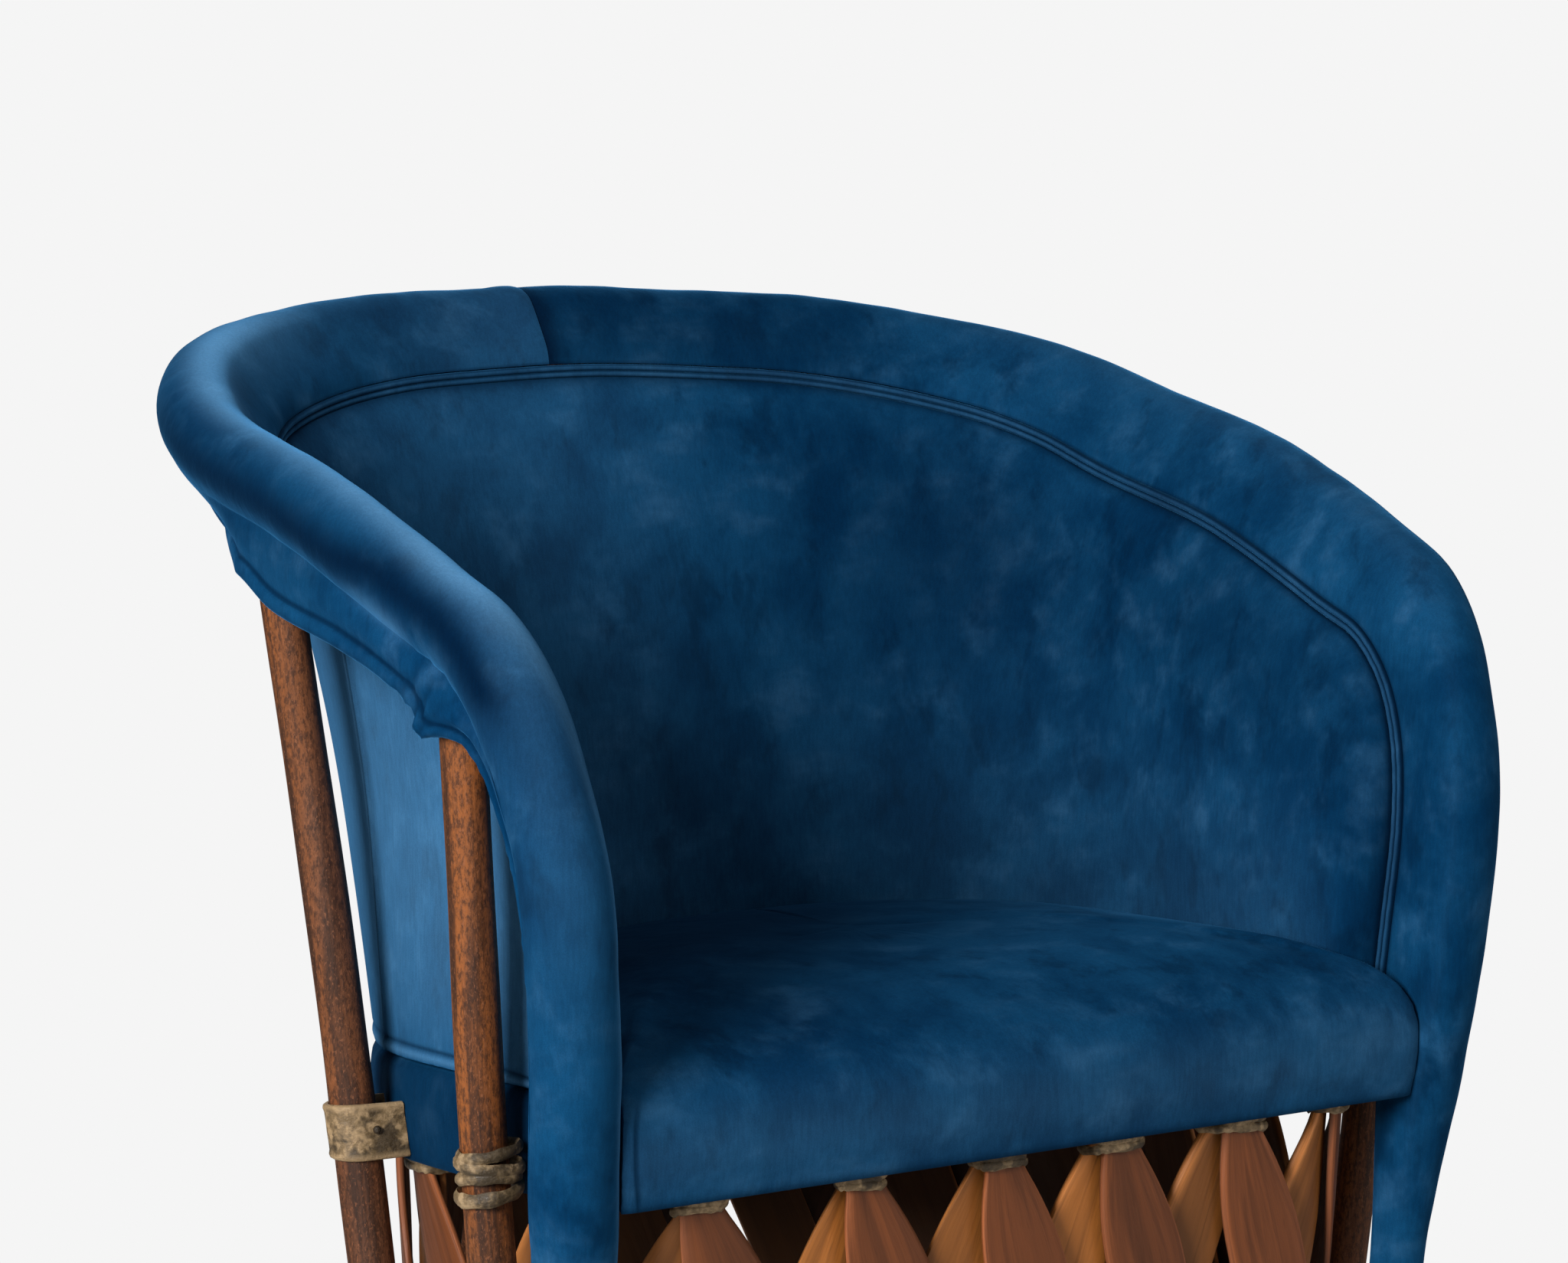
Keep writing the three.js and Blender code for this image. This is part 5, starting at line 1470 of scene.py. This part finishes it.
class CHAIR_OT_slats(bpy.types.Operator):
    """Leaf-shaped split slats, crossed in two layers"""
    bl_idname = "chair.slats"
    bl_label = "Slats"

    def execute(self, context):
        drum = DrumShape(context)
        chance = np.random.default_rng(7)
        behind = drum.sizes.slat_thickness + drum.sizes.slat_clearance
        for index in range(len(TIE_SHARES)):
            for layer, slot, foot, depth in (
                    ("outer", "cedar", foot_tie_share(index), 0.0),
                    ("inner", "pale_cedar", foot_tie_share(index - 3), behind)):
                number = f"{index + 1:02d}"
                piece = self.slat(drum, f"{layer}_slat_{number}", tie_share(index), foot, depth, chance)
                finished(piece, finish_for(context, slot), slot, [f"slat_{layer}_{number}"], angle=35)
        return {"FINISHED"}

    def slat(self, drum, name, top, foot, depth, chance):
        """One slat, narrow at its two ties and rounded along its edges."""
        sizes = drum.sizes
        low, high, end = sizes.slat_foot, sizes.slat_top, 1.2 * MM
        middle = np.linspace(low + 4 * end, high - 4 * end, 56)
        level = np.concatenate([[low, low + end], middle, [high - end, high]])
        tied = (level - sizes.tie_foot) / (sizes.tie_top - sizes.tie_foot)
        belly_top, belly_foot = sizes.slat_belly_top, sizes.slat_belly_foot
        above = np.clip((level - belly_top) / (sizes.tie_top - 4 * MM - belly_top), 0, 1)
        below = np.clip((belly_foot - level) / (belly_foot - sizes.tie_foot - 4 * MM), 0, 1)
        full = (1 - above ** 1.8) * (1 - below ** 1.8)
        phase = chance.uniform(0, 6, 4)
        width = mix(sizes.slat_tip, sizes.slat_width * chance.uniform(0.94, 1.02), full)
        width *= 1 + 0.02 * np.sin(level * 23 + phase[0])
        width *= 1 - 0.12 * fading(np.minimum(level - low, high - level), 1.5 * MM)
        centre = mix(foot, top, tied) + 0.8 * MM / drum.length * np.sin(level * 17 + phase[1])
        face = np.array([-0.5, -0.485, -0.45, -0.3, -0.15, 0, 0.15, 0.3, 0.45, 0.485, 0.5])
        sink = np.array([1.7, 0.75, 0.28, 0.12, 0.03, 0, 0.03, 0.12, 0.28, 0.75, 1.7]) * MM
        across = np.concatenate([face, face[::-1], face[:1]])
        deep = np.concatenate([sink, sizes.slat_thickness - sink[::-1], sink[:1]])
        worn = 0.08 * MM * np.sin(level[:, None] * 60 + across[None, :] * 9 + phase[2])
        share_at = centre[:, None] + across[None, :] * width[:, None] / drum.length
        points = drum.at(share_at, level[:, None], depth + deep[None, :] + worn)
        # The inner faces, inside the drum, are darkened with painted shade
        outside, inside = np.zeros(len(face)), np.ones(len(face) - 2)
        unseen = np.concatenate([outside, [0.5], inside, [0.5, 0]])[None, :]
        piece = woven(name, points, caps=True, crease=0.85 * unseen)
        self.graded(piece, drum, centre, width, level, chance)
        return piece

    def graded(self, piece, drum, centre, width, level, chance):
        """Each slat is cut from its own stretch of wood, has its own tone, and is worn pale along its rim."""
        grain = piece.data.uv_layers[0]
        place = np.empty(len(piece.data.loops) * 2)
        grain.uv.foreach_get("vector", place)
        grain.uv.foreach_set("vector", (place.reshape(-1, 2) + chance.uniform(0, 9, 2)).ravel())
        spots = vertices(piece)
        painted(piece, "tone", np.full(len(spots), chance.uniform(0, 1)))
        middle = drum.at(np.interp(spots[:, 2], level, centre), spots[:, 2], 2.5 * MM)
        away = np.linalg.norm(spots[:, :2] - middle[:, :2], axis=1)
        half = np.interp(spots[:, 2], level, width) / 2
        painted(piece, "edge", np.clip((away / half - 0.92) / 0.06, 0, 1))


class CHAIR_OT_lashings(bpy.types.Operator):
    """Rawhide strands wound round each crossing, and the lace that joins them"""
    bl_idname = "chair.lashings"
    bl_label = "Lashings"

    def execute(self, context):
        drum = DrumShape(context)
        sizes, hide = drum.sizes, finish_for(context, "rawhide")
        chance = np.random.default_rng(11)
        for name, node, level, find in (
                ("lashing_top", "slat_lacing_top", sizes.tie_top, tie_share),
                ("lashing_foot", "slat_lacing_bottom", sizes.tie_foot, foot_tie_share)):
            ties = [self.tie(drum, f"{name}_{index}", find(index), level, chance)
                    for index in range(len(TIE_SHARES))]
            ties.append(self.lace(drum, level, f"{name}_lace"))
            finished(joined(name, ties), hide, "rawhide", [node])
        return {"FINISHED"}

    def tie(self, drum, name, place, level, chance):
        """Three flat strands, one above the other, tied wet round a pair of slats."""
        strands = []
        turn = np.linspace(0, 2 * math.pi, 40, endpoint=False)
        middle, reach = drum.pair / 2, drum.pair / 2 + 2.7 * MM
        for index, step in enumerate((-3.7, 0.0, 3.7)):
            half = drum.sizes.tie_half_width * chance.uniform(0.84, 0.98)
            across = half * np.sign(np.cos(turn)) * np.abs(np.cos(turn)) ** 0.55
            deep = middle - reach * np.sign(np.sin(turn)) * np.abs(np.sin(turn)) ** 0.55
            sway = chance.uniform(-1.2, 1.2) * MM
            tilt = step * MM + sway * np.cos(turn) + 0.5 * MM * np.sin(3 * turn + chance.uniform(0, 6))
            centres = drum.at(place + across / drum.length, level + tilt, deep)
            wave = 1 + 0.14 * np.sin(np.arange(len(centres)) * 1.7 + chance.uniform(0, 6))
            strands.append(strand(f"{name}_{index}", centres, 1.3 * MM, 2.4 * MM, wave))
        return joined(name, strands)

    def lace(self, drum, level, name):
        """The lace behind the slats, from tie to tie all the way round."""
        part = np.linspace(0, 1, 360, endpoint=False)
        deep = drum.pair + drum.sizes.slat_clearance + 3.5 * MM
        height = level + 3.5 * MM + 0.5 * MM * np.sin(part * 151)
        return tube(name, drum.at(part, height, deep), 2 * MM, sides=STRAND_SIDES, loop=True)


# Rods


ROD_SIDES = 24
PEELED_RODS = (0, 3, 6)
# Level, room round the rod and height of each turn of a wrap, in millimetres
WRAP_TURNS = [(21.5, 0.5, 3.0), (15.5, 1.3, 3.4), (9, 0.7, 3.2), (2, 1.4, 3.6)]


def rod_line(context, rim, index):
    """A rod's places at the base, beside the seat and at the rim."""
    rods, drum = context.scene.chair_rods, context.scene.chair_drum
    foot = base_plan(context).outside(drum.wrap_flare + rods.radius + GAP, ROD_FOOT_SHARES[index])
    beside = seat_plan(context).outside(rods.standoff, ROD_SEAT_SHARES[index])
    head = rim.frame(-ROD_RIM_SHARES[index])[0]
    return np.array([[*foot, rods.foot_level], [*beside, rods.strap_level], head])


class CHAIR_OT_rods(bpy.types.Operator):
    """Peeled rods, each a little uneven, with bark left in streaks"""
    bl_idname = "chair.rods"
    bl_label = "Rods"

    def execute(self, context):
        rim, chance = Rim(context), np.random.default_rng(21)
        for index in range(len(ROD_SEAT_SHARES)):
            piece = self.rod(context, rim, index, chance)
            finished(piece, finish_for(context, "bark"), "bark", [f"rod_{index + 1}"])
        return {"FINISHED"}

    def rod(self, context, rim, index, chance):
        rods = context.scene.chair_rods
        foot, seat, head = rod_line(context, rim, index)
        head = mix(head, seat, (rim.sizes.bore_radius + 1 * MM) / np.linalg.norm(head - seat))
        bends = [mix(foot, seat, 0.5), mix(foot, seat, 0.92), mix(seat, head, 0.1), mix(seat, head, 0.55)]
        line = Line(spline([foot, *bends, head], 16))
        along = np.linspace(0, 1, 140)
        centres = line.at(along)
        phase = chance.uniform(0, 6, 4)
        stray = rods.wobble * np.sin(along * math.pi)
        centres[:, 0] += stray * np.sin(along * 9 + phase[0])
        centres[:, 1] += stray * np.sin(along * 7 + phase[1])
        radius = np.interp(centres[:, 2], [seat[2], head[2]], [rods.radius, rods.head_radius])
        turn, along_rows = np.linspace(0, 2 * math.pi, ROD_SIDES + 1)[None, :], along[:, None]
        uneven = 1 + 0.022 * np.cos(2 * turn + phase[3]) + 0.014 * np.sin(along_rows * 31 + phase[2])
        uneven = uneven + 0.012 * np.cos(3 * turn + along_rows * 9)
        ends = np.minimum(along, 1 - along) * line.length
        radii = radius[:, None] * uneven * (1 - 0.12 * fading(ends, 1.2 * MM))[:, None]
        piece = tube(f"rod_pole_{index + 1}", centres, radii, sides=ROD_SIDES, lift=(1, 0.2, 0))
        spots = vertices(piece)
        knot = np.zeros(len(spots))
        for spot in spots[chance.integers(len(spots), size=5)]:
            away = np.linalg.norm((spots - spot) * (1, 1, 0.7), axis=1)
            knot = np.maximum(knot, peak(away, 0, 3.2 * MM))
        painted(piece, "knot", knot)
        painted(piece, "tone", np.full(len(spots), 0.5 if index in PEELED_RODS else 0.3))
        return piece


class CHAIR_OT_straps(bpy.types.Operator):
    """Hide bands and twisted wraps that tie the rods at the seat"""
    bl_idname = "chair.straps"
    bl_label = "Rod straps"

    def execute(self, context):
        rim, chance = Rim(context), np.random.default_rng(5)
        last = len(ROD_SEAT_SHARES) - 1
        for index in range(last + 1):
            if index in (0, last):
                piece, finish = self.wraps(context, rim, index, chance), "rawhide"
            else:
                piece, finish = self.band(context, rim, index), "strap_hide"
            finished(piece, finish_for(context, finish), "rawhide", [f"rod_strap_{index + 1}"])
        return {"FINISHED"}

    def facing(self, context, rim, index):
        """The rod's place at the strap, its lean, and the directions away from and along the seat's side."""
        _, seat, head = rod_line(context, rim, index)
        cover = seat_plan(context).at(0.0, ROD_SEAT_SHARES[index])
        away = unit(seat[:2] - cover)
        return seat, (head - seat) / (head[2] - seat[2]), away, np.array((-away[1], away[0]))

    def band(self, context, rim, index):
        """A flat strap from the seat's side round the rod and back, held by two nails."""
        rods = context.scene.chair_rods
        seat, lean, away, along = self.facing(context, rim, index)
        reach, radius = rods.standoff - 0.6 * MM, rods.radius + 0.5 * MM
        bend = np.radians(np.linspace(-90, 90, 25))
        bow = ((1, 0), (0.8, 0.2), (0.6, 0.3), (0.4, 0.2), (0.2, 0))
        arms = [(-part * reach, radius + out * MM) for part, out in bow]
        path = np.array([(back, -beside) for back, beside in arms]
                        + [(radius * math.cos(turn), radius * math.sin(turn)) for turn in bend] + arms[::-1])
        step = unit(np.gradient(path, axis=0))
        side = np.stack([step[:, 1], -step[:, 0]], axis=1)
        height = np.array([0, 0.03, 0.08, 0.15, 0.3, 0.5, 0.7, 0.85, 0.92, 0.97, 1]) * rods.strap_height
        proud = rods.strap_thickness + np.array([-0.9, 0.3, 0.6, 0.1, 0, 0.15, 0, 0.1, 0.6, 0.3, -0.9]) * MM
        profile = [*zip(height, proud), *((level, 0.1 * MM) for level in height[::-1]), (height[0], proud[0])]
        points = np.empty((len(path), len(profile), 3))
        wave = 0.5 * MM * np.sin(np.linspace(0, 9, len(path)) + index)
        for column, (level, out) in enumerate(profile):
            flat = path + side * out
            rise = level + wave * (level / rods.strap_height - 0.4)
            points[:, column, :2] = (
                seat[:2] + flat[:, :1] * away + flat[:, 1:] * along + rise[:, None] * lean[:2])
            points[:, column, 2] = seat[2] + rise
        edges = [abs(level / rods.strap_height - 0.5) * 2 for level, _ in profile]
        pale = smoothstep(np.array(edges), 0.7, 0.95)[None, :]
        band = woven(f"strap_{index + 1}", points, caps=True, brushed=pale)
        nails = [self.nail(seat, away, along, rods, side, radius + rods.strap_thickness) for side in (-1, 1)]
        return joined(f"strap_{index + 1}", [band, *nails])

    def nail(self, seat, away, along, rods, side, reach):
        """A round nail, woven so that its faces come in the same order each time."""
        flat = seat[:2] + side * along * reach - away * 4 * MM
        fall, turn = np.linspace(0, math.pi, 9)[:, None], np.linspace(0, 2 * math.pi, 15)[None, :]
        ball = raised(
            np.stack([np.sin(fall) * np.sin(turn), np.sin(fall) * np.cos(turn)], axis=-1), np.cos(fall))
        return woven("nail", raised(flat, seat[2] + 0.55 * rods.strap_height) + 2.1 * MM * ball, crease=1.0)

    def wraps(self, context, rim, index, chance):
        """Four turns of twisted hide round a front rod, each tilted against the next."""
        rods = context.scene.chair_rods
        seat, lean, away, along = self.facing(context, rim, index)
        parts = []
        turn = np.linspace(0, 2 * math.pi, 40, endpoint=False)
        for step, (level, grow, tall) in enumerate(WRAP_TURNS):
            tilt = (2.4 if step % 2 else -2.0) * MM
            radius = rods.radius + (1.5 + grow) * MM + 0.5 * MM * np.sin(turn * 3 + step)
            height = level * MM + tilt * np.cos(turn + step)
            stretch = np.where(np.cos(turn) < 0, 1 + 0.18 * np.abs(np.cos(turn)), 1.0)
            out, beside = radius * stretch * np.cos(turn), radius * np.sin(turn)
            flat = out[:, None] * away + beside[:, None] * along
            centres = raised(seat[:2] + flat + height[:, None] * lean[:2], seat[2] + height)
            wave = 1 + 0.1 * np.sin(np.arange(len(turn)) * 0.9 + chance.uniform(0, 6))
            parts.append(strand(f"wrap_{index}_{step}", centres, 1.7 * MM, tall * MM, wave))
        return joined(f"strap_{index + 1}", parts)


# Base and frame


class CHAIR_OT_base(bpy.types.Operator):
    """Velvet wrap round the base hoop and the feet of the slats"""
    bl_idname = "chair.base"
    bl_label = "Base wrap"

    def execute(self, context):
        drum, shape = context.scene.chair_drum, DrumShape(context)
        hoop = shape.foot_inset + shape.pair + drum.slat_clearance + drum.base_hoop_radius
        far = hoop + drum.base_hoop_radius + GAP
        wall, flare, high, low = drum.wrap_thickness, drum.wrap_flare, drum.wrap_height, drum.wrap_inner
        outline = [
            (2.0 * MM, 0), (0.4 * MM, 0.6 * MM), (-0.3 * MM, 3 * MM), (-flare * 0.6, high * 0.35),
            (-flare - 0.6 * MM, high * 0.72), (-flare - 0.4 * MM, high * 0.95),
            (wall / 2 - flare, high + 0.6 * MM), (wall - flare + 0.1 * MM, high * 0.95),
            (wall, high * 0.5), (wall, wall), (far * 0.5, wall), (far, wall), (far, low * 0.6),
            (far + 0.2 * MM, low * 0.96), (far + wall / 2, low + 0.5 * MM), (far + wall, low * 0.94),
            (far + wall + 0.4 * MM, low * 0.5), (far + wall, 2 * MM), (far + wall - 1.5 * MM, 0),
        ]
        part = np.linspace(0, 1, 421)
        rows = np.stack([
            raised(shape.base.at(inset, part), level) for inset, level in [*outline, outline[0]]], axis=1)
        rows[..., 2] += np.where(rows[..., 2] > 20 * MM, lumps(rows, 30, 4.4) * 0.5 * MM, 0)
        wrap = woven("base_wrap", rows)
        finished(wrap, finish_for(context, "velvet"), "velvet", ["base_hoop_wrap"])
        return {"FINISHED"}


class CHAIR_OT_hoops(bpy.types.Operator):
    """Finishes for the pole, the hoops and the deck, whose own shapes stay"""
    bl_idname = "chair.hoops"
    bl_label = "Hoops and deck"

    def execute(self, context):
        for name, finish in (("rim_hoop", "pole"), ("seat_ring", "pole"), ("base_hoop", "pole"),
                             ("seat_deck", "board")):
            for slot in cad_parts[name].material_slots:
                slot.material = finish_for(context, finish)
        return {"FINISHED"}


STEPS = [
    CHAIR_OT_stage, CHAIR_OT_rim, CHAIR_OT_back, CHAIR_OT_seat, CHAIR_OT_slats,
    CHAIR_OT_lashings, CHAIR_OT_rods, CHAIR_OT_straps, CHAIR_OT_base, CHAIR_OT_hoops,
]
GROUPS = {
    "chair_studio": ChairStudio, "chair_rim": ChairRim, "chair_back": ChairBack, "chair_seat": ChairSeat,
    "chair_drum": ChairDrum, "chair_rods": ChairRods, "chair_colours": ChairColours,
}


class CHAIR_PT_pieces(bpy.types.Panel):
    """The chair's pieces, and the sizes and colours that they follow"""
    bl_idname = "CHAIR_PT_pieces"
    bl_label = "Barrel chair"
    bl_space_type = "VIEW_3D"
    bl_region_type = "UI"
    bl_category = "Chair"

    def draw(self, context):
        for step in STEPS:
            self.layout.operator(step.bl_idname)
        for name, group in GROUPS.items():
            box = self.layout.box()
            box.label(text=group.__doc__)
            for item in group.__annotations__:
                box.prop(getattr(context.scene, name), item)


CLASSES = [*GROUPS.values(), *STEPS, CHAIR_PT_pieces]


def register():
    for item in CLASSES:
        bpy.utils.register_class(item)
    for name, group in GROUPS.items():
        setattr(bpy.types.Scene, name, bpy.props.PointerProperty(type=group))


def unregister():
    for name in GROUPS:
        delattr(bpy.types.Scene, name)
    for item in reversed(CLASSES):
        bpy.utils.unregister_class(item)


def main():
    register()
    bpy.ops.chair.stage()
    bpy.ops.chair.rim()
    bpy.ops.chair.back()
    bpy.ops.chair.seat()
    bpy.ops.chair.slats()
    bpy.ops.chair.lashings()
    bpy.ops.chair.rods()
    bpy.ops.chair.straps()
    bpy.ops.chair.base()
    bpy.ops.chair.hoops()


if __name__ == "__main__":
    main()
